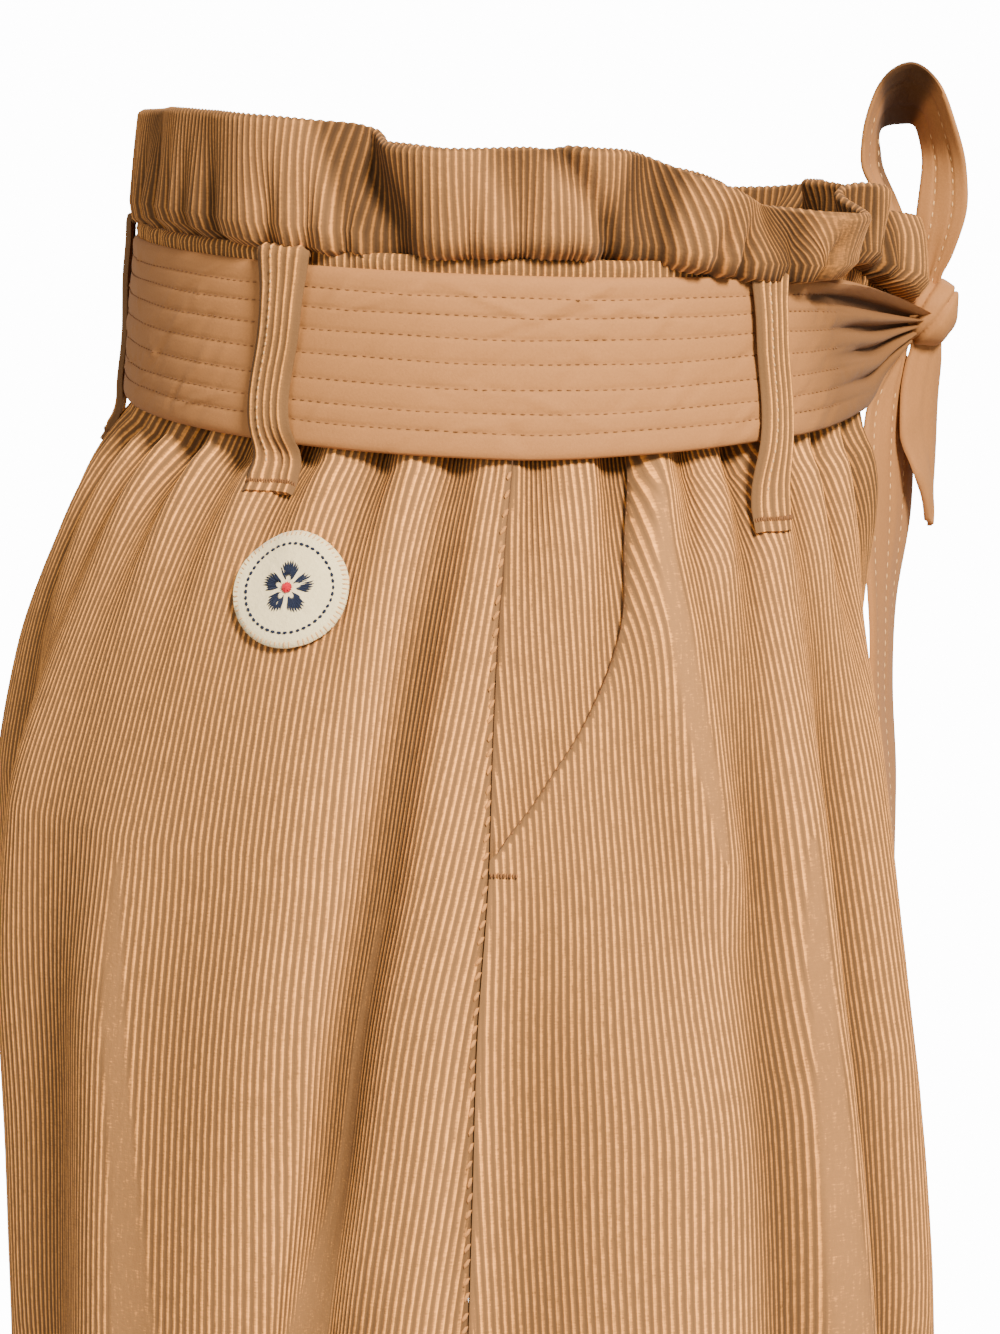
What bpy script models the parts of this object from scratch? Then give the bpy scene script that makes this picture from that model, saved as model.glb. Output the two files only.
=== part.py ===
"""High-waisted corduroy shorts with a paper-bag ruffle and a tied sash belt.

The shorts are filled out as worn, hollow, and open at the waist and at both hems. They face -Y, and
the wearer's right side is -X. The origin is at the centre of the waist, at the belt's mid height.
Sizes are in millimetres, and MM turns them into metres. Heights called levels are measured square to
the waist, which slopes down to the front and dips a little at the sides.
"""
import math
from collections import namedtuple

import bmesh
import bpy
import numpy as np
from mathutils import Vector
from mathutils.bvhtree import BVHTree

MM = 0.001

# Cloth
WALL = 1.6
SEAM_GAP = 0.3
RIDE_GAP = 0.35
CAST_FROM = 100.0

# Waist oval, through the middle of the belt's height
WAIST_HALF_WIDTH = 127.0
WAIST_BACK = 100.0
WAIST_FRONT = 99.5
WAIST_MID = 10.0
WAIST_SEAM = -4.2
WAIST_TILT = 0.031
SIDE_DIP = 2.0
CONE = 0.08
ROUNDNESS = 2.2

# The middle of the front is pulled forward by the tie
PULL = 14.0
PULL_WIDTH = 0.18
PULL_FROM = -15.0
PULL_RISE = 45.0

# Body
TOP_SEAM = -15.0
LEAN_FROM = -30.0
LEAN_FADE = 220.0
CROTCH_TOP = -218.0
CROTCH_DROP = 70.0
CROTCH_DIP = 32.0
CROTCH_STEPS = 5
DIP_SHARE = 0.3
CROTCH_TURN = math.radians(82.0)
FORK_Y = 7.5
AT_FORK = 0.999
LEG_GAP = 7.0
LEG_GAP_DROP = 90.0
CURVE_PULL = 0.58
INNER_SAMPLES = 40
OUTER_SAMPLES = 90
WAIST_SAMPLES = 61
FACING_COLUMNS = 5
FACING_DEPTH = 0.7
SEAM_FADE = 12.0
SHARP_ANGLE = math.radians(50.0)
CREST_COLUMNS = 3
NARROW_SHARE = 0.08
FIT_FROM = 0.6

# Half depths, half width, place of the leg's middle and place of the side seam at each level
BODY_COLUMNS = ("level", "front", "back", "side", "mid", "seam")
BODY = (
    (-15.3, 100.3, 100.8, 127.8, 10.2, -4.2),
    (-23.6, 100.7, 101.4, 128.5, 10.8, -4.1),
    (-29.0, 101.6, 105.6, 132.6, 16.0, -3.6),
    (-36.0, 101.9, 110.4, 137.0, 19.5, -2.9),
    (-46.0, 101.6, 115.2, 141.8, 24.0, -2.0),
    (-64.0, 100.4, 120.8, 148.4, 31.0, -0.5),
    (-90.0, 99.8, 127.0, 156.4, 42.0, 0.8),
    (-125.0, 101.2, 132.6, 166.0, 56.0, 2.0),
    (-160.0, 103.6, 132.0, 174.4, 69.0, 4.6),
    (-200.0, 106.6, 127.8, 181.6, 82.0, 5.8),
    (-240.0, 108.8, 125.2, 187.0, 92.0, 7.0),
    (-290.0, 109.4, 123.6, 192.0, 100.0, 8.5),
    (-350.0, 110.4, 123.6, 197.0, 104.0, 10.0),
    (-420.0, 111.6, 124.0, 201.0, 106.0, 11.0),
)
BODY_LEVELS = (-15.3, -23.6, -29.0, -36.0, -47.0, -63.0, -83.0, -97.0, -108.0, -117.0, -120.0)
BODY_LEVELS += (-152.0, -183.0, -218.0)
LEG_COLUMNS = ("start", "level")
LEG_ROWS = ((-314.0, -345.0), (-364.0, -381.0), (-420.0, -420.0))

# Mouth of the slanted pocket: distance round from the side seam at each level
MOUTH_COLUMNS = ("level", "from_seam")
MOUTH = (
    (-15.3, 30.5),
    (-42.0, 30.6),
    (-56.0, 31.0),
    (-68.0, 29.2),
    (-78.0, 25.4),
    (-88.0, 20.5),
    (-96.5, 15.0),
    (-105.0, 9.5),
    (-111.0, 5.0),
    (-117.0, 1.2),
)
POCKET_END = -117.0
LEVEL_STEP = 0.5

# Gathers below the waist seam: place as a share of the panel from the side seam, plus to the back and
# minus to the front, then depth and reach down the cloth
GATHER_COLUMNS = ("share", "depth", "reach")
GATHER_WIDTH = 6.0
GATHERS = {
    "right": (
        (-0.93, 3.3, 30.0), (-0.81, 4.1, 46.0), (-0.69, 3.3, 34.0),
        (-0.57, 4.4, 50.0), (-0.46, 3.6, 40.0), (-0.35, 4.4, 48.0),
        (-0.26, 3.3, 34.0), (-0.155, 3.8, 36.0), (-0.04, 2.0, 26.0),
        (0.07, 4.1, 34.0), (0.18, 3.3, 44.0), (0.295, 3.6, 34.0),
        (0.405, 3.8, 40.0), (0.51, 4.4, 36.0), (0.62, 3.3, 44.0),
        (0.73, 4.4, 50.0), (0.84, 3.3, 34.0), (0.94, 3.6, 40.0),
    ),
    "left": (
        (-0.92, 3.6, 36.0), (-0.80, 3.3, 44.0), (-0.68, 4.4, 34.0),
        (-0.57, 3.6, 50.0), (-0.46, 4.4, 36.0), (-0.36, 3.6, 42.0),
        (-0.25, 4.1, 34.0), (-0.14, 3.3, 44.0), (-0.03, 2.0, 28.0),
        (0.08, 3.6, 40.0), (0.19, 4.4, 34.0), (0.30, 3.6, 48.0),
        (0.41, 3.3, 36.0), (0.52, 4.4, 42.0), (0.63, 3.6, 34.0),
        (0.73, 3.3, 48.0), (0.84, 4.1, 38.0), (0.94, 3.3, 34.0),
    ),
}

# Long folds: share of the panel at the fold's top and bottom, as for the gathers, then the levels of its
# two ends, half its width, and its height out of the cloth, minus for a trough
FOLD_START = 0.22
FOLD_END = 0.3
FOLD_COLUMNS = ("top_share", "bottom_share", "top", "bottom", "width", "height")
FOLDS = {
    "right": (
        (0.068, 0.150, -24.0, -250.0, 6.5, -6.0),
        (0.120, 0.215, -215.0, -470.0, 13.0, -5.8),
        (0.020, 0.075, -70.0, -440.0, 14.0, 5.8),
        (0.140, 0.270, -60.0, -300.0, 20.0, 3.3),
        (0.400, 0.320, -95.0, -470.0, 15.0, 5.1),
        (0.490, 0.440, -100.0, -470.0, 15.0, -4.6),
        (0.580, 0.570, -50.0, -360.0, 15.0, 3.8),
        (0.700, 0.690, -60.0, -330.0, 16.0, -4.4),
        (0.820, 0.800, -40.0, -300.0, 15.0, 3.8),
        (-0.085, -0.060, -120.0, -440.0, 14.0, -3.8),
        (-0.200, -0.300, -42.0, -150.0, 9.0, 3.6),
        (-0.240, -0.210, -130.0, -470.0, 17.0, 3.8),
        (-0.330, -0.325, -60.0, -400.0, 11.0, -4.1),
        (-0.405, -0.415, -30.0, -440.0, 10.0, 4.6),
        (-0.485, -0.490, -50.0, -330.0, 10.0, -3.3),
        (-0.580, -0.590, -32.0, -380.0, 16.0, 5.9),
        (-0.740, -0.740, -60.0, -300.0, 15.0, -3.8),
    ),
    "left": (
        (0.090, 0.130, -40.0, -270.0, 9.0, -4.9),
        (0.010, 0.030, -80.0, -440.0, 15.0, 5.1),
        (0.190, 0.250, -60.0, -330.0, 18.0, 3.8),
        (0.330, 0.350, -90.0, -470.0, 14.0, -4.6),
        (0.430, 0.420, -70.0, -440.0, 15.0, 4.6),
        (0.600, 0.560, -90.0, -400.0, 16.0, -4.4),
        (0.740, 0.700, -60.0, -330.0, 15.0, 4.1),
        (0.860, 0.850, -50.0, -260.0, 12.0, -3.3),
        (-0.100, -0.080, -130.0, -440.0, 13.0, -4.1),
        (-0.180, -0.260, -50.0, -190.0, 10.0, 3.8),
        (-0.300, -0.280, -150.0, -470.0, 17.0, 4.1),
        (-0.380, -0.370, -60.0, -400.0, 12.0, -3.8),
        (-0.470, -0.460, -35.0, -400.0, 12.0, 4.9),
        (-0.600, -0.600, -60.0, -330.0, 13.0, -3.8),
        (-0.700, -0.690, -40.0, -380.0, 15.0, 4.4),
    ),
}

# Waistband and ruffle: places round the waist are in quarter turns, 0 at the centre back, 1 at the
# wearer's right side, 2 at the centre front and 3 at the left side
WAISTBAND_SEGMENTS = 84
GATHER_LINE = 26.7
GATHER_LINE_DROP = 12.5
GATHER_LINE_WIDTH = 0.28
BAND_WAVE = 0.9
BAND_WAVES = 31
BAND_STEADY = 0.4
BAND_COLUMNS = ("share", "out")
BAND_ROWS = ((0.0, 0.0), (0.92, 0.0), (0.96, 1.0), (1.0, -0.6))
RUFFLE_SEGMENTS = 112
RUFFLE_STEPS = (0.0, 0.16, 0.42, 0.72, 1.0)
RUFFLE_PINCH = -0.6
RUFFLE_SWELL = 0.4
RUFFLE_WAVE_GROWTH = 0.7
RUFFLE_COLUMNS = ("turn", "top", "belly", "lean")
RUFFLE = (
    (0.00, 53.5, 1.0, 1.2),
    (0.25, 56.5, 2.0, 2.0),
    (0.50, 58.5, 4.0, 3.2),
    (0.72, 58.0, 5.0, 5.0),
    (0.90, 53.5, 4.0, 6.0),
    (1.10, 54.2, 4.5, 7.0),
    (1.20, 52.4, 4.5, 8.0),
    (1.30, 47.5, 5.5, 9.5),
    (1.42, 41.5, 7.5, 12.0),
    (1.54, 37.5, 9.5, 15.5),
    (1.66, 43.5, 8.0, 11.0),
    (1.80, 36.5, 5.5, 8.0),
    (1.90, 33.0, 6.0, 8.5),
    (2.00, 29.0, 1.0, -1.0),
    (2.10, 32.0, 4.5, 6.0),
    (2.18, 36.5, 5.0, 7.0),
    (2.30, 40.0, 6.0, 9.0),
    (2.42, 39.0, 6.5, 10.0),
    (2.55, 36.5, 7.0, 11.0),
    (2.65, 38.0, 6.5, 10.0),
    (2.75, 42.0, 6.0, 8.5),
    (2.90, 45.0, 5.5, 7.5),
    (3.10, 48.5, 5.0, 7.0),
    (3.33, 52.0, 4.5, 6.0),
    (3.65, 52.0, 3.0, 3.0),
)
RUFFLE_WAVE_COLUMNS = ("turn", "width", "out")
RUFFLE_WAVES = (
    (0.04, 0.06, -4.0), (0.17, 0.07, 2.2), (0.31, 0.06, -4.5), (0.45, 0.08, 2.0), (0.60, 0.07, 4.0),
    (0.80, 0.05, -7.0), (0.92, 0.05, 5.0), (1.01, 0.04, -5.0), (1.10, 0.05, 4.5), (1.19, 0.04, -6.5),
    (1.29, 0.05, 4.5), (1.39, 0.04, -4.0), (1.51, 0.06, 3.5), (1.62, 0.04, -6.0), (1.71, 0.04, 4.5),
    (1.80, 0.04, -4.0), (1.885, 0.045, 4.0), (2.00, 0.05, -2.0), (2.12, 0.05, 3.5), (2.31, 0.045, -5.0),
    (2.44, 0.06, 4.5), (2.57, 0.045, -5.0), (2.70, 0.06, 4.5), (2.84, 0.05, -5.5), (2.98, 0.06, 4.0),
    (3.13, 0.05, -5.5), (3.29, 0.07, 4.5), (3.46, 0.06, -5.0), (3.62, 0.07, 3.0), (3.78, 0.05, -4.5),
    (3.90, 0.05, 3.0),
)

# Belt, whose ends narrow in pleats towards the knot: distance from the centre front, the levels of its
# two edges and how far it stands out of the waist there
BELT_THICKNESS = 2.0
BELT_SEGMENTS = 84
BELT_EDGE_COLUMNS = ("from_front", "bottom", "top", "out")
BELT_EDGE = (
    (9.6, -2.5, 7.0, 10.0),
    (20.0, -9.5, 10.5, 5.2),
    (38.0, -15.8, 14.6, 2.2),
    (60.0, -17.4, 18.2, 0.5),
    (90.0, -18.8, 21.4, 0.0),
    (118.0, -19.6, 22.7, 0.0),
    (150.0, -21.4, 22.7, 0.0),
    (183.0, -23.0, 22.7, 0.0),
    (260.0, -22.2, 22.7, 0.0),
    (366.0, -20.5, 22.7, 0.0),
)
BELT_ROWS = 3
BELT_EASE = 1.25

# Belt loops: places round the waist at the top and bottom, and the level where the lower end starts
LOOP_HALF_WIDTH = 6.0
LOOP_THICKNESS = 1.8
LOOP_COLUMNS = 4
LOOP_ROW_COLUMNS = ("name", "top_turn", "bottom_turn", "end")
LOOPS = (
    ("belt_loop_centre_back", 0.0, 0.0, -30.5),
    ("belt_loop_right_back", 0.675, 0.683, -28.5),
    ("belt_loop_right_front", 1.405, 1.402, -36.0),
    ("belt_loop_left_front", 2.59, 2.595, -32.5),
    ("belt_loop_left_back", 3.31, 3.30, -31.0),
)

# The strip's path as level and distance out of the waist, then its inner face where it turns in behind
# the belt's top, and last the end on the panel: how far below the end's start, how far off the cloth, and
# the least distance out of the waist
LOOP_PATH_COLUMNS = ("level", "out")
LOOP_PATH = ((25.0, 1.5), (27.6, 3.6), (24.5, 5.2), (12.0, 5.0), (-4.0, 4.6), (-19.0, 4.8))
LOOP_TURN_IN = ((24.0, 0.9), (25.4, 2.4))
LOOP_END_COLUMNS = ("below", "lift", "least")
LOOP_END = ((-4.0, 1.9, 3.2), (0.0, 0.9, -9.0), (3.6, 0.9, -9.0))

# Knot, bow loop and tails, as stations along each ribbon
KNOT_CENTRE = (0.0, -120.6, 2.6)
KNOT_HALF = (9.0, 7.6, 8.6)
KNOT_SQUARENESS = 0.72
KNOT_SEGMENTS = 16
KNOT_RINGS = 10
RIBBON_THICKNESS = 1.8
# Each station is the ribbon's middle as x, y, z and half its width as a vector x, y, z
BOW_LOOP = (
    (-1.5, -120.8, 11.6, -1.5, -3.8, 0.5),
    (-3.0, -122.2, 19.0, -3.0, -5.0, 0.0),
    (-5.5, -124.4, 31.0, -5.0, -6.4, 0.5),
    (-6.0, -124.0, 43.0, -8.0, -5.0, 0.5),
    (-4.0, -122.4, 53.5, -12.0, -3.6, 1.5),
    (-1.0, -120.2, 60.5, -13.0, -2.0, 4.0),
    (1.0, -114.4, 64.5, -13.5, 0.0, 6.0),
    (2.0, -107.6, 61.5, -13.0, 2.0, 4.5),
    (2.5, -105.0, 54.0, -11.0, 3.0, 2.0),
    (2.5, -105.0, 45.0, -9.0, 3.6, 0.0),
    (2.5, -109.6, 34.0, -5.0, 3.0, 1.0),
    (2.2, -114.0, 23.0, -3.6, 2.6, 1.0),
    (1.6, -116.4, 11.8, -2.5, 2.0, 1.0),
)
SHORT_TAIL = (
    (1.0, -121.2, -6.6, -3.5, 4.6, 0.0),
    (1.5, -120.6, -12.0, -4.5, 5.4, 0.0),
    (2.0, -119.8, -20.0, -6.0, 5.8, 0.0),
    (2.5, -119.6, -31.0, -8.0, 5.8, 0.0),
    (3.0, -121.2, -43.0, -8.0, 3.6, 2.0),
    (3.0, -122.4, -51.0, -5.0, 1.8, 3.0),
    (3.0, -122.6, -57.5, -1.0, 0.6, 1.0),
)
LONG_TAIL = (
    (-1.0, -113.8, -6.8, -4.5, 1.2, 0.0),
    (-1.5, -112.2, -13.0, -5.5, 2.8, 0.0),
    (-2.0, -111.2, -23.0, -8.0, 4.4, 0.0),
    (-2.5, -111.2, -38.0, -12.0, 5.6, 0.0),
    (-3.0, -111.4, -58.0, -15.0, 6.6, 0.0),
    (-3.0, -109.6, -82.0, -17.0, 5.2, 0.0),
    (-3.0, -109.8, -107.0, -18.5, 4.6, 0.0),
    (-3.0, -111.6, -131.0, -19.5, 4.2, 0.0),
    (-3.0, -112.6, -155.0, -20.0, 3.0, 3.0),
)
RIBBON_STEPS = 3
SHORT_TAIL_BOW = 1.2
LONG_TAIL_BOW = 0.8

# Round patch on the right hip
PATCH_CENTRE = (51.3, -57.0)
PATCH_RADIUS = 15.2
PATCH_THICKNESS = 1.4
PATCH_LIFT = 0.5
PATCH_RINGS = 2
PATCH_SEGMENTS = 24

CORDUROY = (0.610, 0.420, 0.245)
SASH = (0.560, 0.375, 0.235)
FELT = (0.830, 0.770, 0.640)

Row = namedtuple("Row", "level start inward turn gap")


def smooth(value):
    """Ease from 0 to 1 with level ends."""
    value = np.clip(value, 0.0, 1.0)
    return value * value * (3.0 - 2.0 * value)


def bump(distance, width):
    """A soft bell, 1 in its middle."""
    return np.exp(-((distance / width) ** 2))


def read(table, columns, name, at):
    """Read a named column of a table at any value of its first column, on a smooth curve."""
    rows = np.array(sorted(table))
    xs = rows[:, 0]
    ys = rows[:, columns.index(name)]
    steps = np.diff(ys) / np.diff(xs)
    slopes = np.concatenate([steps[:1], (steps[:-1] + steps[1:]) / 2.0, steps[-1:]])
    slopes[1:-1][steps[:-1] * steps[1:] <= 0.0] = 0.0
    at = np.clip(at, xs[0], xs[-1])
    index = np.clip(np.searchsorted(xs, at, side="right") - 1, 0, len(xs) - 2)
    width = xs[index + 1] - xs[index]
    t = (at - xs[index]) / width
    start = (1.0 + 2.0 * t) * (1.0 - t) ** 2 * ys[index] + t * (1.0 - t) ** 2 * width * slopes[index]
    end = t * t * (3.0 - 2.0 * t) * ys[index + 1] + t * t * (t - 1.0) * width * slopes[index + 1]
    return start + end


def named(columns, table):
    """The rows of a table, with its columns as names."""
    line = namedtuple("Line", columns)
    return [line(*row) for row in table]


def body(name, level):
    return read(BODY, BODY_COLUMNS, name, level)


def outer_quarter(mid, deep, side, seam, count):
    """The rounded quarter from the front-most or rear-most point to the side seam."""
    angle = np.linspace(0.0, math.pi / 2.0, count)
    x = mid + (side - mid) * np.sin(angle) ** (2.0 / ROUNDNESS)
    y = seam + (deep - seam) * np.cos(angle) ** (2.0 / ROUNDNESS)
    return np.column_stack([x, y])


def inner_curve(start, end, turn, count):
    """A curve that leaves the mid-plane at the given turn and arrives level at the leg's middle."""
    span = end - start
    first = start + CURVE_PULL * span * np.array([math.cos(turn), math.sin(turn)])
    second = end - CURVE_PULL * np.array([span[0], 0.0])
    t = np.linspace(0.0, 1.0, count)[:, None]
    return (1 - t) ** 3 * start + 3 * t * (1 - t) ** 2 * first + 3 * t * t * (1 - t) * second + t**3 * end


def body_rows():
    """Rows of the panels: plain above the crotch, fanned along the rise, then down the leg."""
    rows = [Row(level, level, 0.0, 0.0, SEAM_GAP / 2.0) for level in BODY_LEVELS]
    for step in range(1, CROTCH_STEPS + 1):
        angle = math.pi / 2.0 * step / CROTCH_STEPS
        start = CROTCH_TOP - CROTCH_DROP * math.sin(angle)
        level = CROTCH_TOP - (CROTCH_DROP + CROTCH_DIP) * step / CROTCH_STEPS
        turn = CROTCH_TURN * math.sin(angle)
        rows.append(Row(level, start, 1.0 - math.cos(angle), turn, SEAM_GAP / 2.0))
    for leg in named(LEG_COLUMNS, LEG_ROWS):
        opened = smooth((CROTCH_TOP - CROTCH_DROP - leg.start) / LEG_GAP_DROP)
        turn = CROTCH_TURN + (math.pi / 2.0 - CROTCH_TURN) * opened
        rows.append(Row(leg.level, leg.start, 1.0, turn, SEAM_GAP / 2.0 + LEG_GAP * opened))
    return rows


def row_curve(half, row):
    """One row's outer line in plan, from the rise or inseam to the side seam, as (across, deep)."""
    forward = 1.0 if half == "back" else -1.0
    deep = body(half, row.level)
    side = body("side", row.level)
    mid = body("mid", row.level)
    seam = forward * body("seam", row.level) + SEAM_GAP / 2.0
    fork = forward * FORK_Y + SEAM_GAP / 2.0
    start = np.array([row.gap, fork + (deep - fork) * (1.0 - row.inward)])
    inner = inner_curve(start, np.array([mid, deep]), row.turn, INNER_SAMPLES)
    outer = outer_quarter(mid, deep, side, seam, OUTER_SAMPLES)
    return np.vstack([inner[:-1], outer])


def along(line, shares):
    """Points at the given shares of a line's length, and that length."""
    steps = np.linalg.norm(np.diff(line, axis=0), axis=1)
    reach = np.concatenate([[0.0], np.cumsum(steps)])
    at = np.clip(shares, 0.0, 1.0) * reach[-1]
    return np.column_stack([np.interp(at, reach, line[:, k]) for k in range(line.shape[1])]), reach[-1]


def waist_lean(x, y):
    """How far the sloping waist lifts or lowers a point."""
    return WAIST_TILT * y - SIDE_DIP * (x / WAIST_HALF_WIDTH) ** 2


def relief(side, half, row, shares, length):
    """Height of the gathers and long folds over one row of a panel."""
    signed = (1.0 - shares) * (1.0 if half == "back" else -1.0)
    height = np.zeros_like(shares)
    for gather in named(GATHER_COLUMNS, GATHERS[side]):
        fade = bump(max(TOP_SEAM - row.level, 0.0), gather.reach)
        height -= gather.depth * fade * bump((signed - gather.share) * length, GATHER_WIDTH)
    for fold in named(FOLD_COLUMNS, FOLDS[side]):
        down = (fold.top - row.level) / (fold.top - fold.bottom)
        middle = fold.top_share + (fold.bottom_share - fold.top_share) * down
        fade = smooth(down / FOLD_START) * smooth((1.0 - down) / FOLD_END)
        height += fold.height * fade * bump((signed - middle) * length, fold.width)
    return height * smooth(shares * length / SEAM_FADE)


def panel_base(half, row, shares):
    """Points of one row without its folds, on the wearer's left, and the row's length."""
    plan, length = along(row_curve(half, row), shares)
    y = plan[:, 1] * (1.0 if half == "back" else -1.0)
    lift = waist_lean(plan[:, 0], y) * (1.0 - smooth((LEAN_FROM - row.level) / LEAN_FADE))
    dip = (row.start - row.level) * np.clip(1.0 - shares / DIP_SHARE, 0.0, 1.0) ** 2
    return np.column_stack([plan[:, 0], y, row.level + dip + lift]), length


def grid_normals(points, half):
    """Unit normals of a grid of rows and columns, pointing out of the garment."""
    down = np.gradient(points, axis=0)
    across = np.gradient(points, axis=1)
    normals = np.cross(down, across)
    if half == "back":
        normals = -normals
    return normals / np.maximum(np.linalg.norm(normals, axis=2, keepdims=True), 1e-9)


def square_edges(normals, rows, shares):
    """Turn the normals along a seam square to it, so that both sides of the seam agree."""
    normals = normals.copy()
    for index, row in enumerate(rows):
        if row.inward == 0.0 and shares[index, 0] == 0.0:
            normals[index, 0, 0] = 0.0
        if row.inward > AT_FORK:
            normals[index, 0] = (-1.0, 0.0, 0.0)
        if shares[index, -1] == 1.0:
            normals[index, -1, 1] = 0.0
    return normals / np.linalg.norm(normals, axis=2, keepdims=True)


def panel_faces(side, half, rows, shares, sink=0.0):
    """Outer and inner points of a panel, a row of shares for each row of the cloth."""
    base = []
    height = []
    for row, row_shares in zip(rows, shares):
        points, length = panel_base(half, row, row_shares)
        base.append(points)
        height.append(relief(side, half, row, row_shares, length))
    base = np.array(base)
    normals = square_edges(grid_normals(base, half), rows, shares)
    outer = base + normals * (np.array(height)[:, :, None] - sink)
    thick = square_edges(grid_normals(outer, half), rows, shares)
    inner = outer - thick * WALL
    if side == "right":
        outer = outer * (-1.0, 1.0, 1.0)
        inner = inner * (-1.0, 1.0, 1.0)
    return outer, inner


def panel_columns(side, half):
    """Shares of the columns: one in each gather's trough, the others evenly on the crests between."""
    forward = 1.0 if half == "back" else -1.0
    shares = [gather.share * forward for gather in named(GATHER_COLUMNS, GATHERS[side])]
    troughs = sorted(1.0 - share for share in shares if share > 0.0)
    stops = [0.0] + troughs + [1.0]
    columns = [0.0]
    for first, last in zip(stops[:-1], stops[1:]):
        count = CREST_COLUMNS if last - first > NARROW_SHARE else 1
        columns.extend(np.linspace(first, last, count + 1)[1:])
    return np.array(columns)


def fit_columns(columns, edge):
    """Columns that end at the edge: those near it close up, and the rest stay on their gathers."""
    closed = FIT_FROM + (columns - FIT_FROM) * (edge - FIT_FROM) / (1.0 - FIT_FROM)
    return np.where(columns < FIT_FROM, columns, closed)


def mouth_share(half, row):
    """Share of the row at which the slanted pocket's mouth runs, 1 below the pocket."""
    if half == "back" or row.level < POCKET_END - LEVEL_STEP:
        return 1.0
    length = along(row_curve(half, row), np.array([0.0]))[1]
    return 1.0 - read(MOUTH, MOUTH_COLUMNS, "from_seam", row.level) / length


def material(name, colour, rough):
    shader = bpy.data.materials.new(name)
    shader.use_nodes = True
    principled = shader.node_tree.nodes["Principled BSDF"]
    principled.inputs["Base Color"].default_value = (*colour, 1.0)
    principled.inputs["Roughness"].default_value = rough
    principled.inputs["Metallic"].default_value = 0.0
    return shader


def finish_object(name, mesh_data, shader):
    """Put a finished bmesh into the scene as one named object, its faces pointing out."""
    bmesh.ops.recalc_face_normals(mesh_data, faces=mesh_data.faces)
    mesh = bpy.data.meshes.new(name)
    mesh_data.to_mesh(mesh)
    mesh_data.free()
    mesh.materials.append(shader)
    mesh.shade_smooth()
    mesh.set_sharp_from_angle(angle=SHARP_ANGLE)
    part = bpy.data.objects.new(name, mesh)
    bpy.context.collection.objects.link(part)
    return part


def cloth(name, outer, inner, shader, ring=False):
    """A closed wall between two grids of points; a ring joins its last column to its first."""
    rows, columns = outer.shape[:2]
    wall = bmesh.new()
    faces = [[[wall.verts.new(Vector(p) * MM) for p in line] for line in grid] for grid in (outer, inner)]
    last = columns if ring else columns - 1
    for r in range(rows - 1):
        for c in range(last):
            d = (c + 1) % columns
            for grid in faces:
                wall.faces.new((grid[r][c], grid[r][d], grid[r + 1][d], grid[r + 1][c]))
    for r in (0, rows - 1):
        for c in range(last):
            d = (c + 1) % columns
            wall.faces.new((faces[0][r][c], faces[0][r][d], faces[1][r][d], faces[1][r][c]))
    if not ring:
        for c in (0, columns - 1):
            for r in range(rows - 1):
                wall.faces.new((faces[0][r][c], faces[0][r + 1][c], faces[1][r + 1][c], faces[1][r][c]))
    return finish_object(name, wall, shader)


def make_panels(shader):
    rows = body_rows()
    panels = {}
    for side in ("right", "left"):
        for half in ("front", "back"):
            columns = panel_columns(side, half)
            shares = []
            for row in rows:
                edge = mouth_share(half, row)
                length = along(row_curve(half, row), columns)[1]
                gap = SEAM_GAP / length if edge < 1.0 else 0.0
                shares.append(fit_columns(columns, edge - gap))
            outer, inner = panel_faces(side, half, rows, np.array(shares))
            panels[half + "_" + side] = cloth(half + "_" + side, outer, inner, shader)
    return panels


def make_facings(shader):
    """The cloth behind each pocket mouth, a little deeper than the front, out to the side seam."""
    rows = [row for row in body_rows() if row.level > POCKET_END - LEVEL_STEP]
    even = np.linspace(0.0, 1.0, FACING_COLUMNS + 1)
    shares = []
    for row in rows:
        edge = mouth_share("front", row)
        shares.append(edge + (1.0 - edge) * even)
    for side in ("right", "left"):
        outer, inner = panel_faces(side, "front", rows, np.array(shares), FACING_DEPTH)
        cloth("pocket_facing_" + side, outer, inner, shader)


def waist_oval():
    """The waist in plan: places in quarter turns, points and outward normals."""
    quarter = {}
    for half, deep, forward in (("back", WAIST_BACK, 1.0), ("front", WAIST_FRONT, -1.0)):
        plan = outer_quarter(WAIST_MID, deep, WAIST_HALF_WIDTH, forward * WAIST_SEAM, OUTER_SAMPLES)
        plan = np.vstack([[[0.0, deep]], plan])
        quarter[half] = along(plan, np.linspace(0.0, 1.0, WAIST_SAMPLES))[0] * (1.0, forward)
    right = np.vstack([quarter["back"], quarter["front"][-2::-1]]) * (-1.0, 1.0)
    left = right[-2:0:-1] * (-1.0, 1.0)
    points = np.vstack([right, left])
    turns = np.arange(len(points)) * 4.0 / len(points)
    tangents = np.roll(points, -1, axis=0) - np.roll(points, 1, axis=0)
    normals = np.column_stack([tangents[:, 1], -tangents[:, 0]])
    normals *= np.sign((normals * points).sum(axis=1, keepdims=True))
    normals /= np.linalg.norm(normals, axis=1, keepdims=True)
    return turns, points, normals


OVAL_TURNS, OVAL_POINTS, OVAL_NORMALS = waist_oval()
QUARTER_LENGTH = np.linalg.norm(np.diff(OVAL_POINTS, axis=0), axis=1).sum() / 4.0


def round_distance(turn, middle):
    """Distance round the waist from a place, in quarter turns, the short way."""
    return (turn - middle + 2.0) % 4.0 - 2.0


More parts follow.
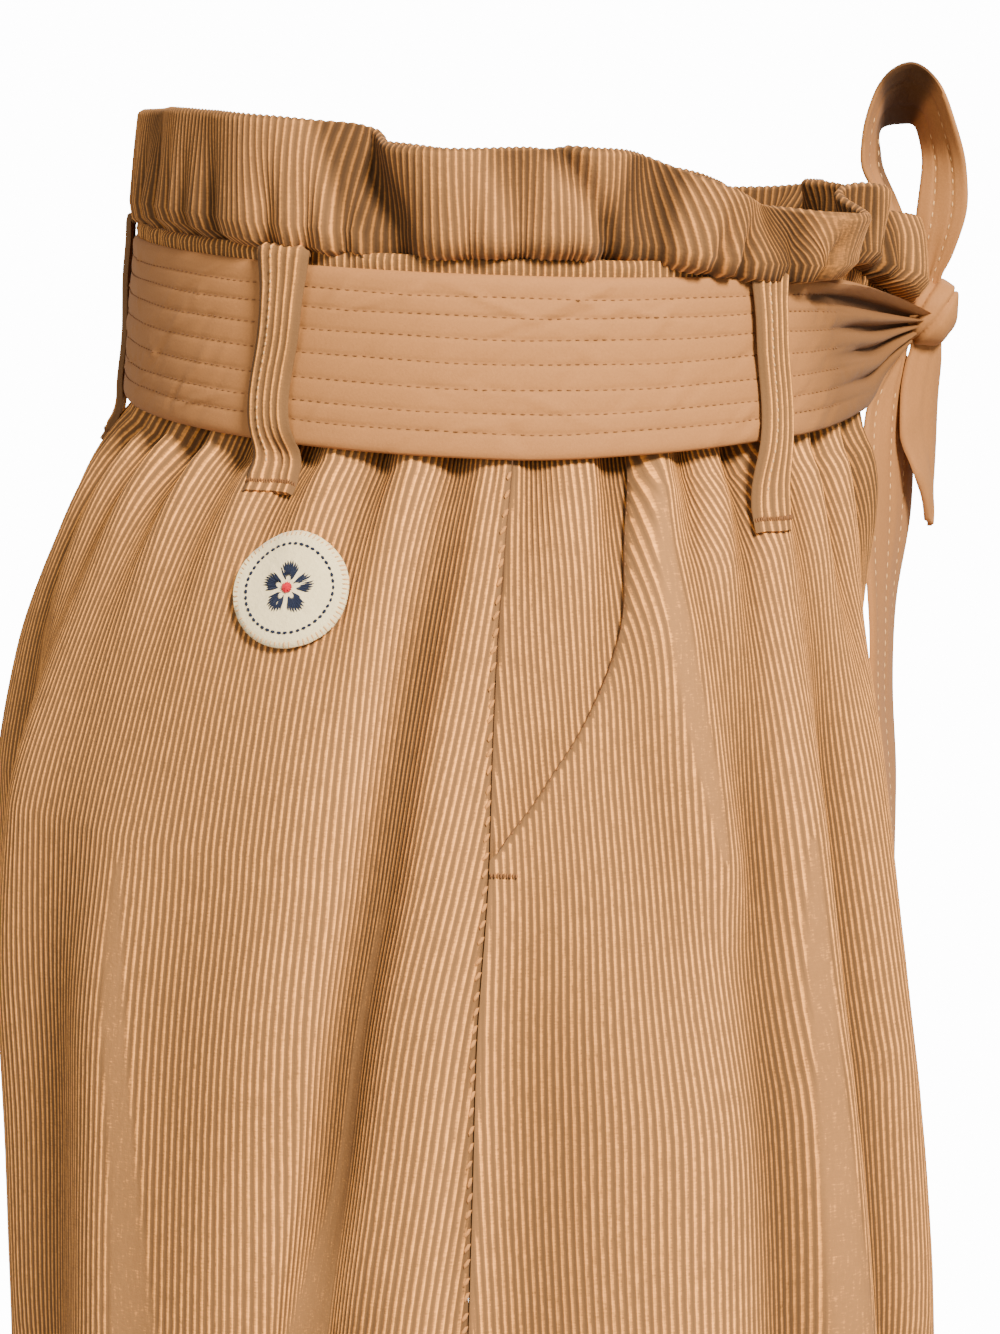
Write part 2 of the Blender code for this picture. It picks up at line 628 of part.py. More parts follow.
def place(turn, level, out):
    """Points at places round the waist, at a level and a distance out of the waist's cone."""
    turn, level, out = np.broadcast_arrays(turn, level, out)
    wrapped = np.mod(turn, 4.0)
    spot = [np.interp(wrapped, OVAL_TURNS, OVAL_POINTS[:, k], period=4.0) for k in (0, 1)]
    normal = [np.interp(wrapped, OVAL_TURNS, OVAL_NORMALS[:, k], period=4.0) for k in (0, 1)]
    rise = np.clip((level - PULL_FROM) / PULL_RISE, 0.0, 1.0)
    pull = PULL * bump(round_distance(turn, 2.0), PULL_WIDTH) * rise
    reach = out - CONE * level + pull
    x = spot[0] + normal[0] * reach
    y = spot[1] + normal[1] * reach
    return np.stack([x, y, level + waist_lean(x, y)], axis=-1)


def gather_level(turn):
    """Level of the gathering line, which falls at the front where the tie draws the belt in."""
    return GATHER_LINE - GATHER_LINE_DROP * bump(round_distance(turn, 2.0), GATHER_LINE_WIDTH)


def make_waistband(shader):
    turn = np.arange(WAISTBAND_SEGMENTS) * 4.0 / WAISTBAND_SEGMENTS
    top = gather_level(turn)
    wave = BAND_WAVE * np.sin(turn * math.pi / 2.0 * BAND_WAVES)
    rows = []
    for band in named(BAND_COLUMNS, BAND_ROWS):
        level = TOP_SEAM + (top - TOP_SEAM) * band.share
        rows.append((level, band.out * (BAND_STEADY + (1.0 - BAND_STEADY) * wave)))
    outer = np.array([place(turn, level, out) for level, out in rows])
    inner = np.array([place(turn, level, out - WALL) for level, out in rows])
    return cloth("waistband", outer, inner, shader, ring=True)


def ruffle_profile(turn, step):
    """Level and distance out of the waist at a share of the ruffle's height."""
    at = np.mod(turn, 4.0)
    wrap = tuple((row[0] + shift, *row[1:]) for shift in (-4.0, 0.0, 4.0) for row in RUFFLE)
    top, belly, lean = (read(wrap, RUFFLE_COLUMNS, name, at) for name in RUFFLE_COLUMNS[1:])
    base = gather_level(turn) + SEAM_GAP
    waves = 0.0
    for wave in named(RUFFLE_WAVE_COLUMNS, RUFFLE_WAVES):
        waves = waves + wave.out * bump(round_distance(turn, wave.turn), wave.width)
    swell = smooth(step / RUFFLE_SWELL)
    out = RUFFLE_PINCH + swell * (belly + (lean - belly) * step) + waves * step**RUFFLE_WAVE_GROWTH
    return base + (top - base) * step, out


def make_ruffle(shader):
    turn = np.arange(RUFFLE_SEGMENTS) * 4.0 / RUFFLE_SEGMENTS
    outer = []
    for step in RUFFLE_STEPS:
        level, out = ruffle_profile(turn, step)
        outer.append(place(turn, level, out))
    outer = np.array(outer)
    down = np.gradient(outer, axis=0)
    round_it = np.roll(outer, -1, axis=1) - np.roll(outer, 1, axis=1)
    normals = np.cross(down, round_it)
    normals /= np.linalg.norm(normals, axis=2, keepdims=True)
    facing_out = np.sign((normals[:, :, :2] * outer[:, :, :2]).sum(axis=2).mean())
    inner = outer - normals * facing_out * WALL
    inner[0] = place(turn, gather_level(turn) + SEAM_GAP, RUFFLE_PINCH - WALL)
    return cloth("ruffle", outer, inner, shader, ring=True)


def make_belt(shader):
    """The sash from the knot round the back to the knot again, narrowed at both ends."""
    nearest = BELT_EDGE[0][0] / QUARTER_LENGTH
    spread = np.linspace(-1.0, 1.0, BELT_SEGMENTS + 1)
    ease = np.sign(spread) * (1.0 - (1.0 - np.abs(spread)) ** BELT_EASE)
    turn = (2.0 - nearest) * ease
    from_front = (2.0 - np.abs(turn)) * QUARTER_LENGTH
    names = BELT_EDGE_COLUMNS[1:]
    bottom, top, out = (read(BELT_EDGE, BELT_EDGE_COLUMNS, name, from_front) for name in names)
    outer = []
    inner = []
    for share in np.linspace(0.0, 1.0, BELT_ROWS):
        level = bottom + (top - bottom) * share
        outer.append(place(turn, level, out + RIDE_GAP + BELT_THICKNESS))
        inner.append(place(turn, level, out + RIDE_GAP))
    return cloth("belt", np.array(outer), np.array(inner), shader)


def surface_below(panels):
    """A tree of the panels' faces, for finding what lies under a point."""
    trees = []
    for panel in panels.values():
        mesh = panel.data
        points = [vert.co.copy() for vert in mesh.vertices]
        trees.append(BVHTree.FromPolygons(points, [list(face.vertices) for face in mesh.polygons]))
    return trees


def land(trees, point, towards):
    """Where a point, sent towards the garment from outside, lands on a panel, and the normal there."""
    direction = Vector(towards).normalized()
    start = Vector(point) * MM - direction * CAST_FROM * MM
    hits = [tree.ray_cast(start, direction) for tree in trees]
    hits = [hit for hit in hits if hit[0] is not None]
    nearest = min(hits, key=lambda hit: hit[3])
    return np.array(nearest[0]) / MM, np.array(nearest[1])


def make_loops(shader, trees):
    """The carriers: each runs down over the belt, and its end lies on the panel below."""
    across = np.linspace(-1.0, 1.0, LOOP_COLUMNS) * LOOP_HALF_WIDTH / QUARTER_LENGTH
    top = LOOP_PATH[0][0]
    for loop in named(LOOP_ROW_COLUMNS, LOOPS):
        outer = []
        inner = []
        for step in named(LOOP_PATH_COLUMNS, LOOP_PATH):
            share = (top - step.level) / (top - loop.end)
            turn = loop.top_turn + (loop.bottom_turn - loop.top_turn) * share + across
            outer.append(place(turn, step.level, step.out))
            inner.append(place(turn, step.level, step.out - LOOP_THICKNESS))
        for index, step in enumerate(named(LOOP_PATH_COLUMNS, LOOP_TURN_IN)):
            inner[index] = place(loop.top_turn + across, step.level, step.out)
        for step in named(LOOP_END_COLUMNS, LOOP_END):
            start = place(loop.bottom_turn + across, loop.end - step.below, 0.0)
            normals = place(loop.bottom_turn + across, loop.end - step.below, 1.0) - start
            landed = [land(trees, point, -normal) for point, normal in zip(start, normals)]
            spots = np.array([spot for spot, facing in landed])
            out = ((spots - start) * normals).sum(axis=1, keepdims=True) + step.lift
            out = np.maximum(out, step.least)
            inner.append(start + normals * out)
            outer.append(start + normals * (out + LOOP_THICKNESS))
        cloth(loop.name, np.array(outer), np.array(inner), shader)


def make_ribbon(name, stations, shader, bow=0.0):
    """A flat ribbon through stations, each with its middle and half its width as a vector."""
    rows = np.array(stations)
    middles = rows[:, :3]
    across = rows[:, 3:]
    along_it = np.gradient(middles, axis=0)
    normals = np.cross(across, along_it)
    normals /= np.linalg.norm(normals, axis=1, keepdims=True)
    grids = []
    for half in (0.5, -0.5):
        grid = []
        for share in np.linspace(-1.0, 1.0, RIBBON_STEPS + 1):
            curl = bow * (1.0 - share * share)
            grid.append(middles + across * share + normals * (half * RIBBON_THICKNESS + curl))
        grids.append(np.array(grid).transpose(1, 0, 2))
    return cloth(name, grids[0], grids[1], shader)


def make_knot(shader):
    """A squarish lump of wrapped cloth."""
    lump = bmesh.new()
    bmesh.ops.create_uvsphere(lump, u_segments=KNOT_SEGMENTS, v_segments=KNOT_RINGS, radius=1.0)
    for vert in lump.verts:
        for axis in range(3):
            value = vert.co[axis]
            eased = math.copysign(abs(value) ** KNOT_SQUARENESS, value)
            vert.co[axis] = (KNOT_CENTRE[axis] + KNOT_HALF[axis] * eased) * MM
    return finish_object("knot", lump, shader)


def make_patch(shader, trees):
    """A round patch that lies on the panel below it."""
    y, z = PATCH_CENTRE
    centre, facing = land(trees, (-CAST_FROM, y, z), (1.0, 0.0, 0.0))
    side = np.cross(facing, (0.0, 0.0, 1.0))
    side /= np.linalg.norm(side)
    up = np.cross(side, facing)
    rings = [[centre]]
    for ring in range(1, PATCH_RINGS + 1):
        radius = PATCH_RADIUS * ring / PATCH_RINGS
        angles = np.arange(PATCH_SEGMENTS) * 2.0 * math.pi / PATCH_SEGMENTS
        rings.append([centre + radius * (math.cos(a) * side + math.sin(a) * up) for a in angles])
    patch = bmesh.new()
    layers = []
    for height in (PATCH_LIFT + PATCH_THICKNESS, PATCH_LIFT):
        layer = []
        for ring in rings:
            spots = [land(trees, point, -facing)[0] + facing * height for point in ring]
            layer.append([patch.verts.new(Vector(spot) * MM) for spot in spots])
        layers.append(layer)
    for layer in layers:
        for c in range(PATCH_SEGMENTS):
            d = (c + 1) % PATCH_SEGMENTS
            patch.faces.new((layer[0][0], layer[1][c], layer[1][d]))
            for r in range(1, PATCH_RINGS):
                patch.faces.new((layer[r][c], layer[r + 1][c], layer[r + 1][d], layer[r][d]))
    rims = [layer[PATCH_RINGS] for layer in layers]
    for c in range(PATCH_SEGMENTS):
        d = (c + 1) % PATCH_SEGMENTS
        patch.faces.new((rims[0][c], rims[0][d], rims[1][d], rims[1][c]))
    return finish_object("patch", patch, shader)


def main():
    for old in list(bpy.data.objects):
        bpy.data.objects.remove(old, do_unlink=True)
    corduroy = material("corduroy", CORDUROY, 0.85)
    sash = material("sash", SASH, 0.7)
    felt = material("felt", FELT, 0.9)
    panels = make_panels(corduroy)
    make_facings(corduroy)
    make_waistband(corduroy)
    make_ruffle(corduroy)
    make_belt(sash)
    trees = surface_below(panels)
    make_loops(corduroy, trees)
    make_knot(sash)
    make_ribbon("bow_loop", BOW_LOOP, sash)
    make_ribbon("tail_short", SHORT_TAIL, sash, SHORT_TAIL_BOW)
    make_ribbon("tail_long", LONG_TAIL, sash, LONG_TAIL_BOW)
    make_patch(felt, trees)


main()
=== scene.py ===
# %% [markdown]
# # Corduroy shorts with a paper-bag waist
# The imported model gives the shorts' plain shapes. This script dresses them: ribbed cloth panels, a frill,
# a stitched sash with its knot and bow, carriers, seams and a round patch. Sizes below are in millimetres,
# as a dressmaker writes them, and MM turns them into metres.

# %% Load the frame
import math
from collections import namedtuple

import bmesh
import bpy
import numpy as np
from mathutils import Matrix, Vector
from mathutils.bvhtree import BVHTree


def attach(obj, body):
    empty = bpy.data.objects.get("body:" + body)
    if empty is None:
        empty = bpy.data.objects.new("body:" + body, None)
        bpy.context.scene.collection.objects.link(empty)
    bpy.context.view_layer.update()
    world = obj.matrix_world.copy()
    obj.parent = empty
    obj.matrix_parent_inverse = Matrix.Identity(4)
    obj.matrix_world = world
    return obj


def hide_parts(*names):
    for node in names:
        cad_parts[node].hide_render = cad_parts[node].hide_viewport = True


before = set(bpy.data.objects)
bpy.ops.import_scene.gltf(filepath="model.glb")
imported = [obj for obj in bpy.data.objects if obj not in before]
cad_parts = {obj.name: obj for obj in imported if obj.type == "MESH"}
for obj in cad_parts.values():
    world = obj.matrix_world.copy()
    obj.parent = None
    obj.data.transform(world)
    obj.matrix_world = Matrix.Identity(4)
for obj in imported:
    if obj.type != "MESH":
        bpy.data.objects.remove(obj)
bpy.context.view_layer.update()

MM = 0.001
print("nodes:", sorted(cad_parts))


# %% Turn a shape into a mesh
def mesh_of(shape, name):
    """A mesh made from an edited shape, which isn't needed after that."""
    mesh = bpy.data.meshes.new(name)
    shape.to_mesh(mesh)
    shape.free()
    return mesh


def link(name, data):
    """A new object of the scene that shows the data."""
    thing = bpy.data.objects.new(name, data)
    bpy.context.collection.objects.link(thing)
    return thing


print("one millimetre:", MM, "m")

# %% [markdown]
# ## Camera, light and floor
# The shorts are seen from the wearer's right, a little from above, close enough that the waist and the
# ruffle fill the frame. One lamp at the front rakes across the ribs, two weaker ones lift the shadows,
# and a round pale stand lies below the hems.

# %% Place the camera
EYE = Vector((-1.100, -0.001, 0.080))
AIM = Vector((0.0, -0.001, -0.0986))
LENS, SENSOR = 105.26, 36.0
camera_data = bpy.data.cameras.new("camera")
camera_data.lens = LENS
camera_data.sensor_width = SENSOR
camera = link("camera", camera_data)
camera.location = EYE
camera.rotation_euler = (AIM - EYE).to_track_quat("-Z", "Y").to_euler()
bpy.context.scene.camera = camera
print("camera distance:", round((AIM - EYE).length, 3), "m")


# %% Hang the lamps
MIDDLE_OF_SHORTS = Vector((0.0, 0.0, -0.15))
WARM, MILD = (1.0, 0.955, 0.87), (1.0, 0.985, 0.97)
LAMPS = (
    ("key", (-1.5, -0.72, 1.08), 0.45, 122.0, WARM),
    ("fill", (-1.8, 1.3, 0.5), 1.2, 20.0, MILD),
    ("far_side", (1.8, -0.6, 1.2), 1.6, 29.0, MILD),
)
for name, spot, size, power, tint in LAMPS:
    light = bpy.data.lights.new(name, "AREA")
    light.size = size
    light.energy = power
    light.color = tint
    lamp = link(name, light)
    lamp.location = spot
    lamp.rotation_euler = (MIDDLE_OF_SHORTS - Vector(spot)).to_track_quat("-Z", "Y").to_euler()
print("lamps:", len(LAMPS))

# %% Hang the white paper
GLOW_SEEN, GLOW_CAST = 14.0, 0.50
world = bpy.data.worlds.new("studio")
world.use_nodes = True
paper = world.node_tree.nodes["Background"]
paper.inputs["Color"].default_value = (0.97, 0.97, 0.97, 1.0)
backdrop = world.node_tree.nodes.new("ShaderNodeLightPath")
glow = world.node_tree.nodes.new("ShaderNodeMath")
glow.operation = "MULTIPLY_ADD"
glow.inputs[1].default_value = GLOW_SEEN
glow.inputs[2].default_value = GLOW_CAST
world.node_tree.links.new(backdrop.outputs["Is Camera Ray"], glow.inputs[0])
world.node_tree.links.new(glow.outputs[0], paper.inputs["Strength"])
bpy.context.scene.world = world
print("paper brighter to the camera by", GLOW_SEEN)

# %% Lay the floor
FLOOR_Z, FLOOR_RADIUS = -0.47, 0.45
stand = bmesh.new()
bmesh.ops.create_circle(stand, cap_ends=True, segments=96, radius=FLOOR_RADIUS)
bmesh.ops.translate(stand, verts=stand.verts, vec=(0.0, 0.0, FLOOR_Z))
floor = link("floor", mesh_of(stand, "floor"))
print("floor at", FLOOR_Z, "m")

# %% [markdown]
# ## Shades shared by the materials
# Two effects come back on every cloth: a soft change of tone over the piece, and a fine fuzz or weave
# that catches the light. Each is a node group with named sockets, built once. A third one is painted
# shade: an attribute called hollow, which grows with how deep a place lies between folds, darkens the colour.


# %% Node helpers
def new_group(name, inputs, outputs):
    """A shader node group with named sockets; the lists hold name, kind and default."""
    group = bpy.data.node_groups.new(name, "ShaderNodeTree")
    for label, kind, value in inputs:
        socket = group.interface.new_socket(label, in_out="INPUT", socket_type="NodeSocket" + kind)
        if value is not None:
            socket.default_value = value
    for label, kind in outputs:
        group.interface.new_socket(label, in_out="OUTPUT", socket_type="NodeSocket" + kind)
    start = group.nodes.new("NodeGroupInput")
    end = group.nodes.new("NodeGroupOutput")
    return group, start, end


def add(tree, kind, links=(), **values):
    """A node with its settings and default values; links are (input name, socket that feeds it)."""
    node = tree.nodes.new("ShaderNode" + kind)
    for key, value in values.items():
        if key.startswith("in_"):
            label = key[3:].replace("_", " ")
            node.inputs[int(label) if label.isdigit() else label].default_value = value
        else:
            setattr(node, key, value)
    for label, source in links:
        tree.links.new(source, node.inputs[label])
    return node


def add_group(tree, group, **values):
    """A node that holds one of the shared groups, with its default values."""
    node = tree.nodes.new("ShaderNodeGroup")
    node.node_tree = group
    for label, value in values.items():
        node.inputs[label.replace("_", " ")].default_value = value
    return node


# %% Tone group: slow patches of lighter and darker cloth
tone, tone_in, tone_out = new_group(
    "cloth_tone",
    [("Color", "Color", (0.5, 0.5, 0.5, 1.0)), ("Patch size", "Float", 14.0), ("Amount", "Float", 0.12)],
    [("Color", "Color")],
)
spot = add(tone, "TexCoord")
patches = add(tone, "TexNoise", [("Vector", spot.outputs["Object"]),
                                 ("Scale", tone_in.outputs["Patch size"])], in_Detail=3.0, in_Roughness=0.6)
centred = add(tone, "Math", [(0, patches.outputs["Fac"])], operation="SUBTRACT", in_1=0.5)
swing = add(tone, "Math", [(0, centred.outputs[0]), (1, tone_in.outputs["Amount"])], operation="MULTIPLY")
level = add(tone, "Math", [(0, swing.outputs[0])], operation="MULTIPLY_ADD", in_1=2.0, in_2=1.0)
shaded = add(tone, "VectorMath", [(0, tone_in.outputs["Color"]), ("Scale", level.outputs[0])],
             operation="SCALE")
tone.links.new(shaded.outputs[0], tone_out.inputs["Color"])
print("tone group:", len(tone.nodes), "nodes")

# %% Fuzz group: fine fibres, as a height for bumps and a mask for colour
fuzz, fuzz_in, fuzz_out = new_group(
    "fine_fibres",
    [("Vector", "Vector", None), ("Scale", "Float", 900.0), ("Strength", "Float", 0.4),
     ("Distance", "Float", 0.0004)],
    [("Normal", "Vector"), ("Mask", "Float")],
)
fibres = add(fuzz, "TexNoise", [("Vector", fuzz_in.outputs["Vector"]), ("Scale", fuzz_in.outputs["Scale"])],
             in_Detail=4.0, in_Roughness=0.7)
raised = add(fuzz, "Bump", [("Strength", fuzz_in.outputs["Strength"]),
                            ("Distance", fuzz_in.outputs["Distance"]), ("Height", fibres.outputs["Fac"])])
fuzz.links.new(raised.outputs["Normal"], fuzz_out.inputs["Normal"])
fuzz.links.new(fibres.outputs["Fac"], fuzz_out.inputs["Mask"])
print("fuzz group:", len(fuzz.nodes), "nodes")


# %% What every cloth material does
def start_cloth(name, rough, specular, sheen, sheen_rough):
    """A material with its constant values set: the material, its nodes and its shader."""
    shader = bpy.data.materials.new(name)
    shader.use_nodes = True
    principled = shader.node_tree.nodes["Principled BSDF"]
    values = {"Roughness": rough, "Specular IOR Level": specular, "Sheen Weight": sheen,
              "Sheen Roughness": sheen_rough}
    for label, value in values.items():
        principled.inputs[label].default_value = value
    return shader, shader.node_tree, principled


def add_fibres(tree, principled, scale, strength):
    """Fine fibres that tilt the surface; the node is returned for its mask."""
    fibres = add_group(tree, fuzz, Scale=scale, Strength=strength)
    tree.links.new(add(tree, "TexCoord").outputs["Object"], fibres.inputs["Vector"])
    tree.links.new(fibres.outputs["Normal"], principled.inputs["Normal"])
    return fibres


def add_colour(tree, principled, colour, shade_strength, **values):
    """Darken a colour by the hollow attribute, as painted shade, vary its tone and send it to the shader."""
    depth = add(tree, "Attribute", attribute_name="hollow")
    shade = add(tree, "Math", [(0, depth.outputs["Fac"])], operation="MULTIPLY_ADD", in_1=-shade_strength, in_2=1.0)
    laid = add(tree, "VectorMath", [(0, colour), ("Scale", shade.outputs[0])], operation="SCALE")
    patch = add_group(tree, tone, **values)
    tree.links.new(laid.outputs[0], patch.inputs["Color"])
    tree.links.new(patch.outputs["Color"], principled.inputs["Base Color"])


print("shared groups:", len(bpy.data.node_groups))

# %% [markdown]
# ## Corduroy
# Corduroy is a pile cloth: soft ribs stand on a flat ground. The ribs are real geometry here, so each
# panel carries an attribute called cloth with the place across the ribs, the place along them and the
# height of the rib. The material paints highlights on the crests and shade on the ground, and streaks the pile
# lengthwise.


# %% Corduroy material
# Colour stops over the rib height: the bright crest is partly a painted highlight, the dark ground partly
# painted shade.
GROUND_STOP, NAP_STOP, CREST_STOP = 0.1, 0.7, 0.96
CORDUROY_SHADE_STRENGTH, CORDUROY_TONE = 0.72, 0.14


def corduroy(name, crest, nap, ground):
    """Ribbed pile: colours run from the ground between the ribs over the nap to the crests; the light crests
    are partly a painted highlight, the dark ground partly painted shade.
    """
    shader, tree, principled = start_cloth(name, 0.86, 0.1, 0.05, 0.4)
    principled.inputs["Sheen Tint"].default_value = (1.0, 0.86, 0.7, 1.0)
    place = add(tree, "Attribute", attribute_name="cloth")
    parts = add(tree, "SeparateXYZ", [(0, place.outputs["Vector"])])
    stretch = add(tree, "VectorMath", [(0, place.outputs["Vector"])], operation="MULTIPLY",
                  in_1=(1.3, 0.22, 0.0))
    streaks = add(tree, "TexNoise", [("Vector", stretch.outputs[0])], in_Scale=1.0, in_Detail=3.0)
    weft_line = add(tree, "VectorMath", [(0, place.outputs["Vector"])], operation="MULTIPLY",
                    in_1=(0.55, 2.1, 0.0))
    weft = add(tree, "TexNoise", [("Vector", weft_line.outputs[0])], in_Scale=1.0, in_Detail=2.0)
    threads = add(tree, "Math", [(0, weft.outputs["Fac"])], operation="MULTIPLY_ADD", in_1=0.32, in_2=-0.34)
    rough_rib = add(tree, "Math", [(0, streaks.outputs["Fac"]), (2, threads.outputs[0])],
                    operation="MULTIPLY_ADD", in_1=0.36)
    rib = add(tree, "Math", [(0, parts.outputs["Z"]), (1, rough_rib.outputs[0])], operation="ADD",
              use_clamp=True)
    ramp = add(tree, "ValToRGB", [("Fac", rib.outputs[0])])
    low, high = ramp.color_ramp.elements
    low.position, high.position = GROUND_STOP, CREST_STOP
    low.color, high.color = (*ground, 1.0), (*crest, 1.0)
    ramp.color_ramp.elements.new(NAP_STOP).color = (*nap, 1.0)
    add_colour(tree, principled, ramp.outputs["Color"], CORDUROY_SHADE_STRENGTH, Amount=CORDUROY_TONE)
    add_fibres(tree, principled, 1100.0, 0.5)
    return shader


rib_cloth = corduroy("camel corduroy", (0.88, 0.345, 0.070), (0.215, 0.098, 0.033), (0.152, 0.073, 0.028))
# Darker copies of the same corduroy, as painted shade: for the pocket facing, sunk behind the mouth, and for
# the frill.
shaded_facing_cloth = corduroy("facing corduroy", (0.88, 0.345, 0.070), (0.205, 0.093, 0.031), (0.138, 0.066, 0.026))
shaded_frill_cloth = corduroy("frill corduroy", (0.62, 0.245, 0.055), (0.188, 0.085, 0.029), (0.128, 0.061, 0.024))
print("corduroys:", rib_cloth.name + ",", shaded_facing_cloth.name + ",", shaded_frill_cloth.name)

# %% [markdown]
# ## Plain cloths and threads
# The sash is a smooth woven cotton, the inside of the corduroy is its flat woven back, and the patch is
# felt. They differ in colour and in how coarse their fibres are, so one function makes them all.


# %% Plain cloth material
def plain_cloth(name, colour, scale, strength, amount, sheen, rough=0.8, shade_strength=0.0):
    """Smooth cloth, felt or thread, speckled by its fibres around one colour."""
    shader, tree, principled = start_cloth(name, rough, 0.12, sheen, 0.5)
    grain = add_fibres(tree, principled, scale, strength)
    speckle = add(tree, "Mix", [("Factor", grain.outputs["Mask"])], data_type="RGBA")
    speckle.inputs[6].default_value = (*(0.8 * part for part in colour), 1.0)
    speckle.inputs[7].default_value = (*(1.12 * part for part in colour), 1.0)
    add_colour(tree, principled, speckle.outputs[2], shade_strength, Amount=amount, Patch_size=22.0)
    return shader


# The sash darkens where hollow asks for it: painted shade. Its copy for the other faces has none.
sash_cloth = plain_cloth("tan sash cotton", (0.355, 0.148, 0.045), 1500.0, 0.22, 0.07, 0.03, 0.72, 0.75)
sash_back = plain_cloth("tan sash cotton, outside", (0.355, 0.148, 0.045), 1500.0, 0.22, 0.07, 0.03, 0.72)
reverse_cloth = plain_cloth("corduroy reverse", (0.24, 0.115, 0.05), 1300.0, 0.4, 0.08, 0.05, 0.9)
felt = plain_cloth("cream felt", (0.76, 0.61, 0.34), 1000.0, 0.6, 0.05, 0.2, 0.95)
# Darker than the sash: the thread's own tan, with painted shade of the stitch holes.
tan_thread_and_shade = plain_cloth("tan thread", (0.20, 0.082, 0.027), 2200.0, 0.5, 0.1, 0.05)
pale_thread = plain_cloth("pale thread", (0.66, 0.36, 0.14), 2200.0, 0.5, 0.1, 0.05)
# Puckers along the side seams: the corduroy painted lighter, a painted highlight on each bump.
pucker_highlight = plain_cloth("puckered corduroy", (0.46, 0.19, 0.05), 1600.0, 0.6, 0.2, 0.05)
navy_thread = plain_cloth("navy thread", (0.010, 0.014, 0.032), 2200.0, 0.5, 0.1, 0.1)
red_thread = plain_cloth("red thread", (0.50, 0.008, 0.02), 2200.0, 0.5, 0.1, 0.1)
floor.data.materials.append(plain_cloth("pale floor", (0.83, 0.83, 0.83), 60.0, 0.05, 0.02, 0.0, 0.9))
print("materials:", len(bpy.data.materials))

# %% [markdown]
# ## The shape of the shorts in numbers
# A pattern cutter draws the shorts as rows: at each level a half front and a half back run from the rise
# or inseam to the side seam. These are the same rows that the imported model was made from.

# %% Sizes of the body
SEAM_GAP = 0.3
RIDE_GAP = 0.35
WAIST_HALF_WIDTH, WAIST_BACK, WAIST_FRONT = 127.0, 100.0, 99.5
WAIST_MID, WAIST_SEAM, WAIST_TILT, SIDE_DIP = 10.0, -4.2, 0.031, 2.0
CONE, ROUNDNESS = 0.08, 2.2
PULL, PULL_WIDTH, PULL_FROM, PULL_RISE = 14.0, 0.18, -15.0, 45.0
TOP_SEAM, LEAN_FROM, LEAN_FADE = -15.0, -30.0, 220.0
CROTCH_TOP, CROTCH_DROP, CROTCH_DIP = -218.0, 70.0, 32.0
CROTCH_TURN = math.radians(82.0)
FORK_Y, LEG_GAP, LEG_GAP_DROP = 7.5, 7.0, 90.0
DIP_SHARE, CURVE_PULL, SEAM_FADE = 0.3, 0.58, 12.0
HEM = -420.0

BODY_COLUMNS = ("level", "front", "back", "side", "mid", "seam")
BODY = (
    (-15.3, 100.3, 100.8, 127.8, 10.2, -4.2),
    (-23.6, 100.7, 101.4, 128.5, 10.8, -4.1),
    (-29.0, 101.6, 105.6, 132.6, 16.0, -3.6),
    (-36.0, 101.9, 110.4, 137.0, 19.5, -2.9),
    (-46.0, 101.6, 115.2, 141.8, 24.0, -2.0),
    (-64.0, 100.4, 120.8, 148.4, 31.0, -0.5),
    (-90.0, 99.8, 127.0, 156.4, 42.0, 0.8),
    (-125.0, 101.2, 132.6, 166.0, 56.0, 2.0),
    (-160.0, 103.6, 132.0, 174.4, 69.0, 4.6),
    (-200.0, 106.6, 127.8, 181.6, 82.0, 5.8),
    (-240.0, 108.8, 125.2, 187.0, 92.0, 7.0),
    (-290.0, 109.4, 123.6, 192.0, 100.0, 8.5),
    (-350.0, 110.4, 123.6, 197.0, 104.0, 10.0),
    (-420.0, 111.6, 124.0, 201.0, 106.0, 11.0),
)
MOUTH_COLUMNS = ("level", "from_seam")
MOUTH = (
    (-15.3, 30.5), (-42.0, 30.6), (-56.0, 31.0), (-68.0, 29.2), (-78.0, 25.4), (-88.0, 20.5),
    (-96.5, 15.0), (-105.0, 9.5), (-111.0, 5.0), (-117.0, 1.2),
)
POCKET_END = -117.0
Row = namedtuple("Row", "level start inward turn gap")


# %% Curves and rows
def smooth(value):
    """Ease from 0 to 1 with level ends."""
    value = np.clip(value, 0.0, 1.0)
    return value * value * (3.0 - 2.0 * value)


def bump(distance, width):
    """A soft bell, 1 in its middle."""
    return np.exp(-((distance / width) ** 2))


def read(table, columns, name, at):
    """Read a named column of a table at any value of its first column, on a smooth curve."""
    rows = np.array(sorted(table))
    xs = rows[:, 0]
    ys = rows[:, columns.index(name)]
    steps = np.diff(ys) / np.diff(xs)
    slopes = np.concatenate([steps[:1], (steps[:-1] + steps[1:]) / 2.0, steps[-1:]])
    slopes[1:-1][steps[:-1] * steps[1:] <= 0.0] = 0.0
    at = np.clip(at, xs[0], xs[-1])
    index = np.clip(np.searchsorted(xs, at, side="right") - 1, 0, len(xs) - 2)
    width = xs[index + 1] - xs[index]
    t = (at - xs[index]) / width
    start = (1.0 + 2.0 * t) * (1.0 - t) ** 2 * ys[index] + t * (1.0 - t) ** 2 * width * slopes[index]
    end = t * t * (3.0 - 2.0 * t) * ys[index + 1] + t * t * (t - 1.0) * width * slopes[index + 1]
    return start + end


def body(name, level):
    """A size of the body at a level."""
    return read(BODY, BODY_COLUMNS, name, level)


def between(at, marks, points):
    """Points read between the points of a line, at places given along its marks."""
    return np.column_stack([np.interp(at, marks, points[:, axis]) for axis in range(points.shape[1])])


EASING = np.array([1.0, 2.0, 3.0, 2.0, 1.0]) / 9.0


def averaged(line, weights, mode="edge"):
    """A running average of a line of numbers; the mode says how the line goes on past its ends."""
    return np.convolve(np.pad(line, len(weights) // 2, mode=mode), weights, mode="valid")


